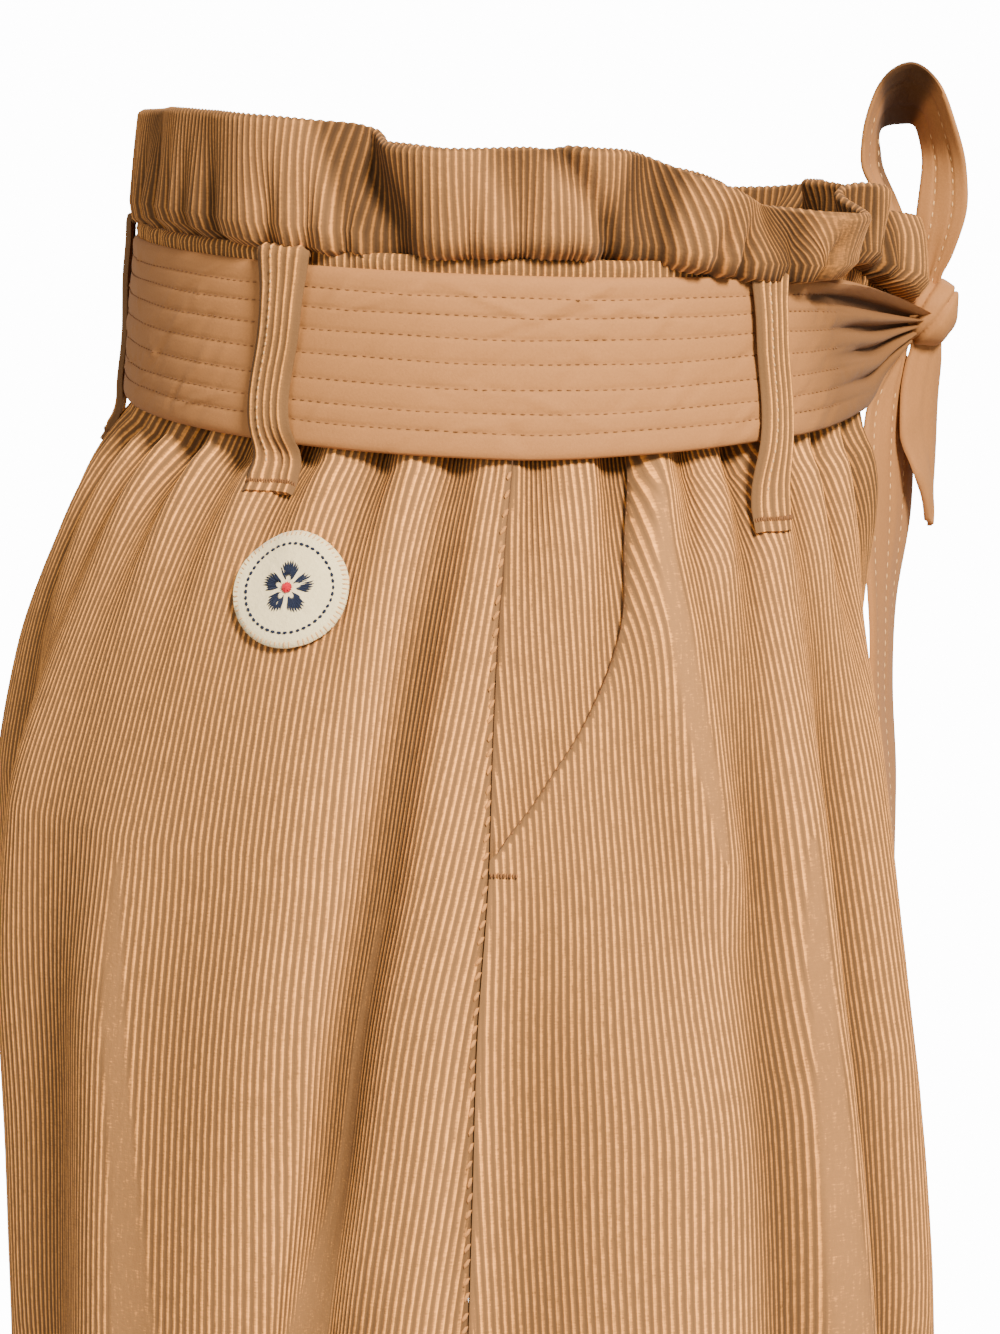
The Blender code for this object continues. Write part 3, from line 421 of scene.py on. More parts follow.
def unit(vectors):
    """The same directions, each one long."""
    return vectors / np.linalg.norm(vectors, axis=-1, keepdims=True)


def outer_quarter(mid, deep, side, seam, count):
    """The rounded quarter from the front-most or rear-most point to the side seam."""
    angle = np.linspace(0.0, math.pi / 2.0, count)
    x = mid + (side - mid) * np.sin(angle) ** (2.0 / ROUNDNESS)
    y = seam + (deep - seam) * np.cos(angle) ** (2.0 / ROUNDNESS)
    return np.column_stack([x, y])


def inner_curve(start, end, turn, count):
    """A curve that leaves the mid-plane at the given turn and arrives level at the leg's middle."""
    span = end - start
    first = start + CURVE_PULL * span * np.array([math.cos(turn), math.sin(turn)])
    second = end - CURVE_PULL * np.array([span[0], 0.0])
    t = np.linspace(0.0, 1.0, count)[:, None]
    return (1 - t) ** 3 * start + 3 * t * (1 - t) ** 2 * first + 3 * t * t * (1 - t) * second + t**3 * end


def body_rows():
    """Close rows down the panels: the hip, the fan of rows along the rise, and the leg."""
    parts = ((-15.3, -62.0, 15), (-64.0, -122.0, 30), (-128.0, CROTCH_TOP, 13))
    levels = np.concatenate([np.linspace(*part) for part in parts])
    rows = [Row(at, at, 0.0, 0.0, SEAM_GAP / 2.0) for at in levels]
    for step in np.linspace(0.0, 1.0, 13)[1:]:
        angle = math.pi / 2.0 * step
        start = CROTCH_TOP - CROTCH_DROP * math.sin(angle)
        at = CROTCH_TOP - (CROTCH_DROP + CROTCH_DIP) * step
        rows.append(Row(at, start, 1.0 - math.cos(angle), CROTCH_TURN * math.sin(angle), SEAM_GAP / 2.0))
    for start in np.linspace(CROTCH_TOP - CROTCH_DROP, HEM, 16)[1:]:
        at = float(np.interp(-start, (288.0, 314.0, 364.0, 420.0), (320.0, 345.0, 381.0, 420.0)))
        opened = smooth((CROTCH_TOP - CROTCH_DROP - start) / LEG_GAP_DROP)
        turn = CROTCH_TURN + (math.pi / 2.0 - CROTCH_TURN) * opened
        rows.append(Row(-at, start, 1.0, turn, SEAM_GAP / 2.0 + LEG_GAP * opened))
    return rows


def row_curve(half, row):
    """One row's outer line in plan, from the rise or inseam to the side seam, as (across, deep)."""
    forward = 1.0 if half == "back" else -1.0
    deep = body(half, row.level)
    seam = forward * body("seam", row.level) + SEAM_GAP / 2.0
    fork = forward * FORK_Y + SEAM_GAP / 2.0
    mid = body("mid", row.level)
    start = np.array([row.gap, fork + (deep - fork) * (1.0 - row.inward)])
    inner = inner_curve(start, np.array([mid, deep]), row.turn, 60)
    outer = outer_quarter(mid, deep, body("side", row.level), seam, 160)
    return np.vstack([inner[:-1], outer])


def along(line, shares):
    """Points at the given shares of a line's length, and that length."""
    steps = np.linalg.norm(np.diff(line, axis=0), axis=1)
    reach = np.concatenate([[0.0], np.cumsum(steps)])
    return between(np.clip(shares, 0.0, 1.0) * reach[-1], reach, line), reach[-1]


def waist_lean(x, y):
    """How far the sloping waist lifts or lowers a point."""
    return WAIST_TILT * y - SIDE_DIP * (x / WAIST_HALF_WIDTH) ** 2


ROWS = body_rows()
LEVELS = np.array([row.level for row in ROWS])


def row_of(level):
    """The row number, with its fraction, at a level."""
    return float(np.interp(-level, -LEVELS, np.arange(len(ROWS))))


print("rows down a panel:", len(ROWS))

# %% [markdown]
# ## Gathers and folds
# The waist seam draws up more cloth than the waist is round, so short gathers fall from it. Longer folds
# hang below. Places are shares of a panel from the side seam, plus to the back and minus to the front.

# %% Tables of gathers and folds
Gather = namedtuple("Gather", "share depth reach")
GATHERS = {
    "right": (
        (-0.93, 3.3, 30.0), (-0.81, 4.1, 46.0), (-0.69, 3.3, 34.0),
        (-0.57, 4.4, 50.0), (-0.46, 3.6, 40.0), (-0.35, 4.4, 48.0),
        (-0.26, 3.3, 34.0), (-0.155, 3.8, 36.0), (-0.04, 2.0, 26.0),
        (0.07, 4.1, 34.0), (0.18, 3.3, 44.0), (0.295, 3.6, 34.0),
        (0.405, 3.8, 40.0), (0.51, 4.4, 36.0), (0.62, 3.3, 44.0),
        (0.73, 4.4, 50.0), (0.84, 3.3, 34.0), (0.94, 3.6, 40.0),
    ),
    "left": (
        (-0.92, 3.6, 36.0), (-0.80, 3.3, 44.0), (-0.68, 4.4, 34.0),
        (-0.57, 3.6, 50.0), (-0.46, 4.4, 36.0), (-0.36, 3.6, 42.0),
        (-0.25, 4.1, 34.0), (-0.14, 3.3, 44.0), (-0.03, 2.0, 28.0),
        (0.08, 3.6, 40.0), (0.19, 4.4, 34.0), (0.30, 3.6, 48.0),
        (0.41, 3.3, 36.0), (0.52, 4.4, 42.0), (0.63, 3.6, 34.0),
        (0.73, 3.3, 48.0), (0.84, 4.1, 38.0), (0.94, 3.3, 34.0),
    ),
}
GATHER_WIDTH = 6.0
Fold = namedtuple("Fold", "top_share bottom_share top bottom width height")
FOLDS = {
    "right": (
        (0.068, 0.150, -24.0, -250.0, 6.5, -6.0),
        (0.120, 0.215, -215.0, -470.0, 13.0, -5.8),
        (0.020, 0.075, -70.0, -440.0, 14.0, 5.8),
        (0.140, 0.270, -60.0, -300.0, 20.0, 3.3),
        (0.400, 0.320, -95.0, -470.0, 15.0, 4.0),
        (0.490, 0.440, -100.0, -470.0, 15.0, -2.2),
        (0.580, 0.570, -50.0, -360.0, 15.0, 3.8),
        (0.700, 0.690, -60.0, -330.0, 16.0, -4.4),
        (0.820, 0.800, -40.0, -300.0, 15.0, 3.8),
        (-0.085, -0.060, -120.0, -440.0, 14.0, -3.8),
        (-0.200, -0.300, -42.0, -150.0, 9.0, 3.6),
        (-0.240, -0.210, -130.0, -470.0, 17.0, 3.8),
        (-0.330, -0.325, -60.0, -400.0, 11.0, -4.1),
        (-0.405, -0.415, -30.0, -440.0, 10.0, 4.6),
        (-0.485, -0.490, -50.0, -330.0, 10.0, -3.3),
        (-0.580, -0.590, -32.0, -380.0, 16.0, 5.9),
        (-0.740, -0.740, -60.0, -300.0, 15.0, -3.8),
    ),
    "left": (
        (0.090, 0.130, -40.0, -270.0, 9.0, -4.9),
        (0.010, 0.030, -80.0, -440.0, 15.0, 5.1),
        (0.190, 0.250, -60.0, -330.0, 18.0, 3.8),
        (0.330, 0.350, -90.0, -470.0, 14.0, -4.6),
        (0.430, 0.420, -70.0, -440.0, 15.0, 4.6),
        (0.600, 0.560, -90.0, -400.0, 16.0, -4.4),
        (0.740, 0.700, -60.0, -330.0, 15.0, 4.1),
        (0.860, 0.850, -50.0, -260.0, 12.0, -3.3),
        (-0.100, -0.080, -130.0, -440.0, 13.0, -4.1),
        (-0.180, -0.260, -50.0, -190.0, 10.0, 3.8),
        (-0.300, -0.280, -150.0, -470.0, 17.0, 4.1),
        (-0.380, -0.370, -60.0, -400.0, 12.0, -3.8),
        (-0.470, -0.460, -35.0, -400.0, 12.0, 4.9),
        (-0.600, -0.600, -60.0, -330.0, 13.0, -3.8),
        (-0.700, -0.690, -40.0, -380.0, 15.0, 4.4),
    ),
}
GATHERS = {side: tuple(Gather(*line) for line in lines) for side, lines in GATHERS.items()}
FOLDS = {side: tuple(Fold(*line) for line in lines) for side, lines in FOLDS.items()}
print("folds on a side:", len(FOLDS["right"]), "gathers:", len(GATHERS["right"]))

# %% [markdown]
# ## Corduroy panels
# Each panel is one piece of cloth. A flat grid stands for it, three columns to a rib, and every corner of
# the grid is laid on the body. The ribs keep their true width in the cloth: they crowd into the gathers,
# and where a panel flares below the waist new ribs start at the side seam, which gives the arrowhead
# that meets at the seam. The grid is then thickened, and its other side is laid plain for the inside.

# %% How the ribs lie
RIB_PITCH, RIB_HEIGHT = 1.97, 0.42
RIB_SHAPE = np.array([0.0, 0.6, 1.0, 0.6])
PANEL_SHAPE = np.array([0.0, 0.95, 0.75])
RIB_STEPS, PANEL_STEPS = len(RIB_SHAPE), len(PANEL_SHAPE)
CUT_WIDTH = 247.0
FACING_SLANT = math.tan(math.radians(8.5))
FRONT_SLANT = math.tan(math.radians(3.6))
SLANT_COLUMNS = ("level", "taken")
BACK_SLANT = (
    (-15.0, 0.0), (-60.0, 5.5), (-120.0, 14.5), (-180.0, 23.0), (-230.0, 28.5), (-300.0, 32.0),
    (-470.0, 35.0),
)
TROUGH_COLUMNS = ("level", "from_seam")
TROUGH = (
    (-15.0, 18.0), (-60.0, 21.0), (-120.0, 26.0), (-180.0, 32.0), (-250.0, 40.0), (-330.0, 49.0),
    (-470.0, 66.0),
)
SHARES = np.linspace(0.0, 1.0, 301)
CLOTH = 1.3
SIDES = {"right": np.array((-1.0, 1.0, 1.0)), "left": np.ones(3)}
FOLD_DEPTH, GATHER_DEPTH, TUCK_WIDTH = 1.2, 1.7, 2.6
UNDER_TIE = Gather(-0.80, 5.0, 24.0)
UNDER_TIE_LEVEL, UNDER_TIE_WIDTH = -36.0, 13.0
# Depth of fold for full painted shade, and the range from a painted highlight on ridges to painted shade in
# troughs.
DEEPEST_HOLLOW, PAINTED_SHADE_RANGE, UNDER_TIE_RANGE = 5.5, (-0.25, 0.8), (-0.25, 0.95)
FOLD_IN, FOLD_OUT = 0.22, 0.3
LEAN_IN, LEAN_REACH = 8.5, 9.0


def fine_gathers(side):
    """Small tucks between the named gathers, different on each side."""
    dice = np.random.default_rng(11 if side == "right" else 12)
    shares = np.arange(-0.97, 0.98, 0.052) + dice.uniform(-0.014, 0.014, 38)
    return [Gather(share, dice.uniform(0.8, 2.2), dice.uniform(12.0, 30.0)) for share in shares]


FINE_GATHERS = {side: fine_gathers(side) for side in GATHERS}
print("small tucks on a side:", len(FINE_GATHERS["right"]))


# %% The surface of a panel
def relief(side, half, row, shares, length):
    """Height of the gathers, tucks and long folds over one row of a panel."""
    signed = (1.0 - shares) * (1.0 if half == "back" else -1.0)
    below = max(TOP_SEAM - row.level, 0.0)
    height = np.zeros_like(shares)
    for gather in GATHERS[side]:
        pinch = GATHER_DEPTH * gather.depth * bump(below, gather.reach)
        height -= pinch * bump((signed - gather.share) * length, GATHER_WIDTH)
    for tuck in FINE_GATHERS[side]:
        height -= tuck.depth * bump(below, tuck.reach) * bump((signed - tuck.share) * length, TUCK_WIDTH)
    for fold in FOLDS[side]:
        down = (fold.top - row.level) / (fold.top - fold.bottom)
        middle = fold.top_share + (fold.bottom_share - fold.top_share) * down
        fade = smooth(down / FOLD_IN) * smooth((1.0 - down) / FOLD_OUT)
        height += FOLD_DEPTH * fold.height * fade * bump((signed - middle) * length, fold.width)
    tucked = 0.0
    if half == "front":
        tucked = UNDER_TIE.depth * bump(row.level - UNDER_TIE_LEVEL, UNDER_TIE.reach)
        tucked *= bump((signed - UNDER_TIE.share) * length, UNDER_TIE_WIDTH)
    return height * smooth(shares * length / SEAM_FADE) + tucked


def panel_base(half, row, shares):
    """Points of one row without its folds, on the wearer's left, and the row's length."""
    plan, length = along(row_curve(half, row), shares)
    y = plan[:, 1] * (1.0 if half == "back" else -1.0)
    lift = waist_lean(plan[:, 0], y) * (1.0 - smooth((LEAN_FROM - row.level) / LEAN_FADE))
    dip = (row.start - row.level) * np.clip(1.0 - shares / DIP_SHARE, 0.0, 1.0) ** 2
    return np.column_stack([plan[:, 0], y, row.level + dip + lift]), length


def grid_normals(points, half):
    """Unit normals of a grid of rows and columns, pointing out of the garment."""
    normals = np.cross(np.gradient(points, axis=0), np.gradient(points, axis=1))
    if half == "back":
        normals = -normals
    return normals / np.maximum(np.linalg.norm(normals, axis=2, keepdims=True), 1e-9)


def square_edges(normals):
    """Turn the normals along a seam square to it, so that both sides of the seam agree."""
    normals = normals.copy()
    for index, row in enumerate(ROWS):
        if row.inward == 0.0:
            normals[index, 0, 0] = 0.0
        if row.inward > 0.999:
            normals[index, 0] = (-1.0, 0.0, 0.0)
        normals[index, -1, 1] = 0.0
    return unit(normals)


def lay_surface(side, half):
    """The smooth folded surface of a panel: points, normals, row lengths and painted shade, on the left side.
    """
    laid = [panel_base(half, row, SHARES) for row in ROWS]
    base = np.array([points for points, length in laid])
    lengths = np.array([length for points, length in laid])
    height = np.array([relief(side, half, row, SHARES, length) for row, length in zip(ROWS, lengths)])
    folded = base + square_edges(grid_normals(base, half)) * height[:, :, None]
    # Painted shade: darker in the troughs of the folds, lighter on their ridges as a painted highlight.
    even_height = np.array([averaged(line, np.ones(41) / 41.0) for line in height])
    painted_shades = np.clip((even_height - height) / DEEPEST_HOLLOW, *PAINTED_SHADE_RANGE)
    # More painted shade on the front panel under the tie, by the centre front.
    if half == "front":
        shaded = bump(LEVELS[:, None] - UNDER_TIE_LEVEL, 26.0) * smooth((0.34 - SHARES) / 0.1)[None, :]
        painted_shades = np.clip(painted_shades + 0.85 * shaded, *UNDER_TIE_RANGE)
    return folded, square_edges(grid_normals(folded, half)), lengths, painted_shades


def mouth_distance(level):
    """Distance of the pocket's mouth from the side seam, 0 below the pocket."""
    return read(MOUTH, MOUTH_COLUMNS, "from_seam", level) if level > POCKET_END - 0.5 else 0.0


def rib_places(side, half, row, length, hooked):
    """Place across the ribs, in millimetres of cloth, at each share of a row."""
    from_seam = (1.0 - SHARES) * length
    below = TOP_SEAM - row.level
    across = from_seam * max(1.0, CUT_WIDTH / length)
    if half == "back":
        trough = read(TROUGH, TROUGH_COLUMNS, "from_seam", row.level)
        taken = read(BACK_SLANT, SLANT_COLUMNS, "taken", row.level)
        across -= taken * smooth((trough + 11.0 - from_seam) / 22.0)
    else:
        across -= (FRONT_SLANT if hooked else FACING_SLANT) * below
    forward = 1.0 if half == "back" else -1.0
    for gather in GATHERS[side] + tuple(FINE_GATHERS[side]):
        if gather.share * forward > 0.0:
            apart = (from_seam - abs(gather.share) * length) / GATHER_WIDTH
            crowded = 0.85 * gather.depth * bump(max(below, 0.0), gather.reach)
            across += crowded * apart * np.exp(-apart * apart / 2.0)
    if hooked:
        beside = from_seam - mouth_distance(row.level)
        across += LEAN_IN * smooth((row.level + 84.0) / 50.0) * np.exp(-np.maximum(beside, 0.0) / LEAN_REACH)
        above = row.level + 47.0
        turned = 0.21 * (above + math.sqrt(above * above + 9.0))
        across += turned * smooth((beside - 9.0) / 11.0) * (1.0 - 0.7 * smooth((from_seam - 58.0) / 30.0))
    across += 0.45 * np.sin(row.level / 17.0 + from_seam / 21.0)
    return np.maximum.accumulate(across[::-1])[::-1] - 1e-6 * np.arange(len(SHARES))


# %% Strips along the folds where the ribs are flattened and a highlight is painted
# In these strips the ribs lie flatter and their colour is painted lighter: a painted highlight.
LIT_STRIP_RIB, LIT_STRIP_HIGHLIGHT, LIT_STRIP_EASE = 0.66, 0.32, 1.8
LIT_STRIP_COLUMNS = ("level", "from_seam", "wide")
LIT_STRIPS = {
    "front": (
        ((-26.0, 38.0, 0.4), (-45.0, 41.5, 2.0), (-66.0, 45.5, 2.6), (-86.0, 50.5, 2.6),
         (-104.0, 55.5, 2.0), (-122.0, 60.0, 0.4)),
        ((-118.0, 88.5, 0.4), (-140.0, 91.0, 2.2), (-170.0, 95.0, 2.8), (-205.0, 99.0, 3.8),
         (-250.0, 104.5, 6.0), (-430.0, 118.0, 7.0)),
    ),
    "back": (
        ((-122.0, 98.0, 0.4), (-150.0, 95.0, 2.6), (-190.0, 90.5, 3.2), (-225.0, 87.0, 5.0),
         (-250.0, 84.0, 7.0), (-430.0, 76.0, 8.0)),
        ((-130.0, 25.5, 0.4), (-160.0, 29.0, 1.0), (-195.0, 32.5, 1.7), (-235.0, 39.5, 4.6),
         (-300.0, 50.0, 5.0), (-430.0, 60.0, 5.0)),
    ),
}


def lit_strips(half, level, from_seam):
    """How far the ribs are flattened and painted lighter, a painted highlight: 1 in the middle of the strips
    along the folds, else 0.
    """
    flat = np.zeros_like(from_seam)
    for strip in LIT_STRIPS[half]:
        if strip[-1][0] < level < strip[0][0]:
            middle, wide = (read(strip, LIT_STRIP_COLUMNS, name, level) for name in LIT_STRIP_COLUMNS[1:])
            flat = np.maximum(flat, smooth((wide + 1.4 - np.abs(from_seam - middle)) / LIT_STRIP_EASE))
    return flat


print("ribs across a cut panel:", round(CUT_WIDTH / RIB_PITCH))


# %% Fill a flat grid with laid points
WELD = 2e-7
CREASE_ANGLE = math.radians(72.0)


def keyed_grid(points, ring=False, closed=False):
    """A flat grid whose corners go to the points; ring joins its columns and closed its rows, end to end."""
    rows, columns = points.shape[:2]
    grid = bmesh.new()
    across, down = (columns if ring else columns - 1), (rows if closed else rows - 1)
    bmesh.ops.create_grid(grid, x_segments=across, y_segments=down, size=1.0)
    key = grid.verts.layers.int.new("key")
    flat = points.reshape(-1, 3) * MM
    for index, vert in enumerate(grid.verts):
        vert[key] = (index // (across + 1)) % rows * columns + (index % (across + 1)) % columns
        vert.co = flat[vert[key]]
    bmesh.ops.remove_doubles(grid, verts=grid.verts, dist=WELD)
    return grid, key


def mark_cloth(mesh, marks):
    """Give every corner its marks, found by its key: three for the cloth and a fourth for the painted shade.
    """
    keys = np.zeros(len(mesh.vertices), dtype=np.int32)
    mesh.attributes["key"].data.foreach_get("value", keys)
    marks = marks.reshape(-1, marks.shape[-1])[keys].astype(np.float32)
    weave = mesh.attributes.new("cloth", "FLOAT_VECTOR", "POINT")
    weave.data.foreach_set("vector", marks[:, :3].ravel())
    if marks.shape[1] > 3:
        depth = mesh.attributes.new("hollow", "FLOAT", "POINT")
        depth.data.foreach_set("value", np.ascontiguousarray(marks[:, 3]))
    mesh.attributes.remove(mesh.attributes["key"])


def lay_cloth(name, outer, inner, marks, shaders, ring=False):
    """A thickened sheet: a grid whose corners go to the outer points, and the other side to the inner."""
    sheet, key = keyed_grid(outer, ring)
    flat_inner = inner.reshape(-1, 3) * MM
    made = bmesh.ops.solidify(sheet, geom=sheet.faces[:], thickness=0.0005)["geom"]
    for item in made:
        if isinstance(item, bmesh.types.BMVert):
            item.co = flat_inner[item[key]]
        elif isinstance(item, bmesh.types.BMFace):
            item.material_index = len(shaders) - 1
    bmesh.ops.recalc_face_normals(sheet, faces=sheet.faces)
    mesh = mesh_of(sheet, name)
    mark_cloth(mesh, marks)
    return show(name, mesh, shaders)


def show(name, mesh, shaders):
    """Put a finished mesh into the scene, smooth, with its materials, riding on the shorts."""
    for shader in shaders:
        mesh.materials.append(shader)
    mesh.shade_smooth()
    mesh.set_sharp_from_angle(angle=CREASE_ANGLE)
    piece = link(name, mesh)
    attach(piece, "root")
    print(name, len(mesh.polygons), "faces")
    return piece


# %% Cut the ribbed cloth
EDGE_EASE = 0.9


def ribbed_grid(side, half, surface, edges, sink, hooked):
    """Outer and inner points and marks of a panel between two shares of every row."""
    points, normals, lengths, painted_shades = surface
    places = [rib_places(side, half, row, length, hooked) for row, length in zip(ROWS, lengths)]
    kept = [k for k, edge in enumerate(edges) if edge is not None]
    lowest = min(np.interp(edges[k][1], SHARES, places[k]) for k in kept)
    highest = max(np.interp(edges[k][0], SHARES, places[k]) for k in kept)
    first = math.floor(lowest / RIB_PITCH)
    count = (math.ceil(highest / RIB_PITCH) - first) * PANEL_STEPS + 1
    cloth_places = (first + np.arange(count) / PANEL_STEPS) * RIB_PITCH
    outer = []
    inner = []
    marks = []
    for k in kept:
        low, high = edges[k]
        shares = np.clip(np.interp(cloth_places, places[k][::-1], SHARES[::-1]), low, high)
        spot = between(shares, SHARES, points[k])
        facing = unit(between(shares, SHARES, normals[k]))
        edge_fade = smooth(np.minimum(shares - low, high - shares) * lengths[k] / EDGE_EASE)
        swell = 1.0 + 0.12 * np.sin(ROWS[k].level / 6.1 + np.floor(np.arange(count) / PANEL_STEPS) * 2.4)
        flat = lit_strips(half, ROWS[k].level, (1.0 - shares) * lengths[k])
        rib = (PANEL_SHAPE[np.arange(count) % PANEL_STEPS] * (1.0 - flat) + LIT_STRIP_RIB * flat) * edge_fade
        lower = sink(ROWS[k], (1.0 - shares) * lengths[k])
        outer.append(spot + facing * (rib * RIB_HEIGHT * swell - lower)[:, None])
        inner.append(spot - facing * (CLOTH + lower)[:, None])
        # Painted shade from the folds, lessened on the lit strips as a painted highlight.
        hollow = np.interp(shares, SHARES, painted_shades[k]) - LIT_STRIP_HIGHLIGHT * flat
        marks.append(np.column_stack([cloth_places, np.full(count, ROWS[k].level), rib, hollow]))
    return np.array(outer), np.array(inner), np.array(marks)


def no_sink(row, from_seam):
    """A panel lies at the surface."""
    return np.zeros_like(from_seam)


def behind_mouth(row, from_seam):
    """How deep the facing lies: flush at the side seam, behind the front panel under its mouth."""
    mouth = mouth_distance(row.level)
    deep = 0.15 + 2.1 * smooth(1.0 - (mouth - from_seam) / min(max(mouth, 2.0), 11.0))
    return deep if mouth else np.full_like(from_seam, 2.25)


# %% Lay the panels and facings
FACING_TUCKED, FACING_BELOW = 6.0, 14.0
panels = {}
surfaces = {}


def panel_edges(half, lengths):
    """A panel's first and last share in every row; a front panel ends at the pocket's mouth."""
    edges = []
    for row, length in zip(ROWS, lengths):
        mouth = mouth_distance(row.level) if half == "front" else 0.0
        edges.append((0.0, 1.0 - (mouth + SEAM_GAP) / length if mouth else 1.0))
    return edges


def facing_edges(lengths):
    """A facing's first and last share in every row, and None below it."""
    edges = []
    for row, length in zip(ROWS, lengths):
        tucked = 1.0 - (mouth_distance(row.level) + FACING_TUCKED) / length
        edges.append((tucked, 1.0) if row.level > POCKET_END - FACING_BELOW else None)
    return edges


def lay_panel(name, side, half, edges, sink, hooked, shader):
    """Cut and lay one panel or facing, and keep it by its name."""
    outer, inner, marks = ribbed_grid(side, half, surfaces[half + "_" + side], edges, sink, hooked)
    mirror = SIDES[side]
    panels[name] = lay_cloth("cloth_" + name, outer * mirror, inner * mirror, marks, (shader, reverse_cloth))
    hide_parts(name)


for side in SIDES:
    for half in ("back", "front"):
        name = half + "_" + side
        surfaces[name] = lay_surface(side, half)
        lengths = surfaces[name][2]
        lay_panel(name, side, half, panel_edges(half, lengths), no_sink, half == "front", rib_cloth)
        if half == "front":
            name = "pocket_facing_" + side
            lay_panel(name, side, half, facing_edges(lengths), behind_mouth, False, shaded_facing_cloth)
print("panels and facings:", len(panels))

# %% [markdown]
# ## Round the waist
# Everything above the panels follows one oval. A place on it is given in quarter turns: 0 at the centre
# back, 1 at the wearer's right side, 2 at the centre front and 3 at the left side.


# %% The waist's oval
def waist_oval():
    """The waist in plan: places in quarter turns, points and outward normals."""
    quarter = {}
    for half, deep, forward in (("back", WAIST_BACK, 1.0), ("front", WAIST_FRONT, -1.0)):
        plan = outer_quarter(WAIST_MID, deep, WAIST_HALF_WIDTH, forward * WAIST_SEAM, 90)
        plan = np.vstack([[[0.0, deep]], plan])
        quarter[half] = along(plan, np.linspace(0.0, 1.0, 61))[0] * (1.0, forward)
    right = np.vstack([quarter["back"], quarter["front"][-2::-1]]) * (-1.0, 1.0)
    left = right[-2:0:-1] * (-1.0, 1.0)
    points = np.vstack([right, left])
    turns = np.arange(len(points)) * 4.0 / len(points)
    tangents = np.roll(points, -1, axis=0) - np.roll(points, 1, axis=0)
    normals = np.column_stack([tangents[:, 1], -tangents[:, 0]])
    normals *= np.sign((normals * points).sum(axis=1, keepdims=True))
    return turns, points, unit(normals)


OVAL_TURNS, OVAL_POINTS, OVAL_NORMALS = waist_oval()
QUARTER_LENGTH = np.linalg.norm(np.diff(OVAL_POINTS, axis=0), axis=1).sum() / 4.0


def round_distance(turn, middle):
    """Distance round the waist from a place, in quarter turns, the short way."""
    return (turn - middle + 2.0) % 4.0 - 2.0


def from_front_of(turn):
    """Distance round the waist from the centre front, in millimetres."""
    return (2.0 - np.abs(round_distance(turn, 0.0))) * QUARTER_LENGTH


def place(turn, level, out):
    """Points at places round the waist, at a level and a distance out of the waist's cone."""
    turn, level, out = np.broadcast_arrays(turn, level, out)
    wrapped = np.mod(turn, 4.0)
    spot = [np.interp(wrapped, OVAL_TURNS, OVAL_POINTS[:, k], period=4.0) for k in (0, 1)]
    normal = [np.interp(wrapped, OVAL_TURNS, OVAL_NORMALS[:, k], period=4.0) for k in (0, 1)]
    rise = np.clip((level - PULL_FROM) / PULL_RISE, 0.0, 1.0)
    reach = out - CONE * level + PULL * bump(round_distance(turn, 2.0), PULL_WIDTH) * rise
    x = spot[0] + normal[0] * reach
    y = spot[1] + normal[1] * reach
    return np.stack([x, y, level + waist_lean(x, y)], axis=-1)


GATHER_LINE, GATHER_LINE_DROP, GATHER_LINE_WIDTH = 26.7, 12.5, 0.28


def gather_level(turn):
    """Level of the gathering line, which falls at the front where the tie draws the belt in."""
    return GATHER_LINE - GATHER_LINE_DROP * bump(round_distance(turn, 2.0), GATHER_LINE_WIDTH)


print("waist round the cloth:", round(4.0 * QUARTER_LENGTH), "mm")

# %% [markdown]
# ## Ruffle
# Above the gathering line the cloth is folded double and stands up as a frill. It is one closed loop in
# section: up the outside, over the fold and down the inside, ribbed all the way, so that the rib ends
# show as small teeth along the top. Tucks start at the gathering line and open out as waves.

# %% Tables of the ruffle
RUFFLE_PINCH, RUFFLE_SWELL, RUFFLE_WAVE_GROWTH = -0.6, 0.2, 0.45
RUFFLE_COLUMNS = ("turn", "top", "belly", "lean")
RUFFLE = (
    (0.00, 53.5, 1.0, 1.2),
    (0.25, 56.5, 2.0, 2.0),
    (0.50, 58.5, 4.0, 3.2),
    (0.71, 58.3, 5.0, 5.0),
    (0.76, 57.4, 4.6, 5.2),
    (0.81, 53.4, 4.2, 5.6),
    (0.90, 53.0, 4.0, 6.0),
    (1.10, 54.0, 4.5, 7.0),
    (1.20, 51.8, 4.5, 8.0),
    (1.30, 43.8, 5.5, 9.5),
    (1.42, 38.8, 7.5, 12.0),
    (1.54, 36.8, 9.5, 15.5),
    (1.66, 43.5, 8.0, 11.0),
    (1.80, 36.5, 5.5, 8.0),
    (1.90, 33.0, 6.0, 8.5),
    (2.00, 29.0, 1.0, -1.0),
    (2.10, 32.0, 4.5, 6.0),
    (2.18, 36.5, 5.0, 7.0),
    (2.30, 40.0, 6.0, 9.0),
    (2.42, 39.0, 6.5, 10.0),
    (2.55, 36.5, 7.0, 11.0),
    (2.65, 38.0, 6.5, 10.0),
    (2.75, 42.0, 6.0, 8.5),
    (2.90, 43.0, 5.5, 7.5),
    (3.10, 45.2, 5.0, 7.0),
    (3.33, 48.6, 4.5, 6.0),
    (3.65, 51.0, 3.0, 3.0),
)
Wave = namedtuple("Wave", "turn width out")
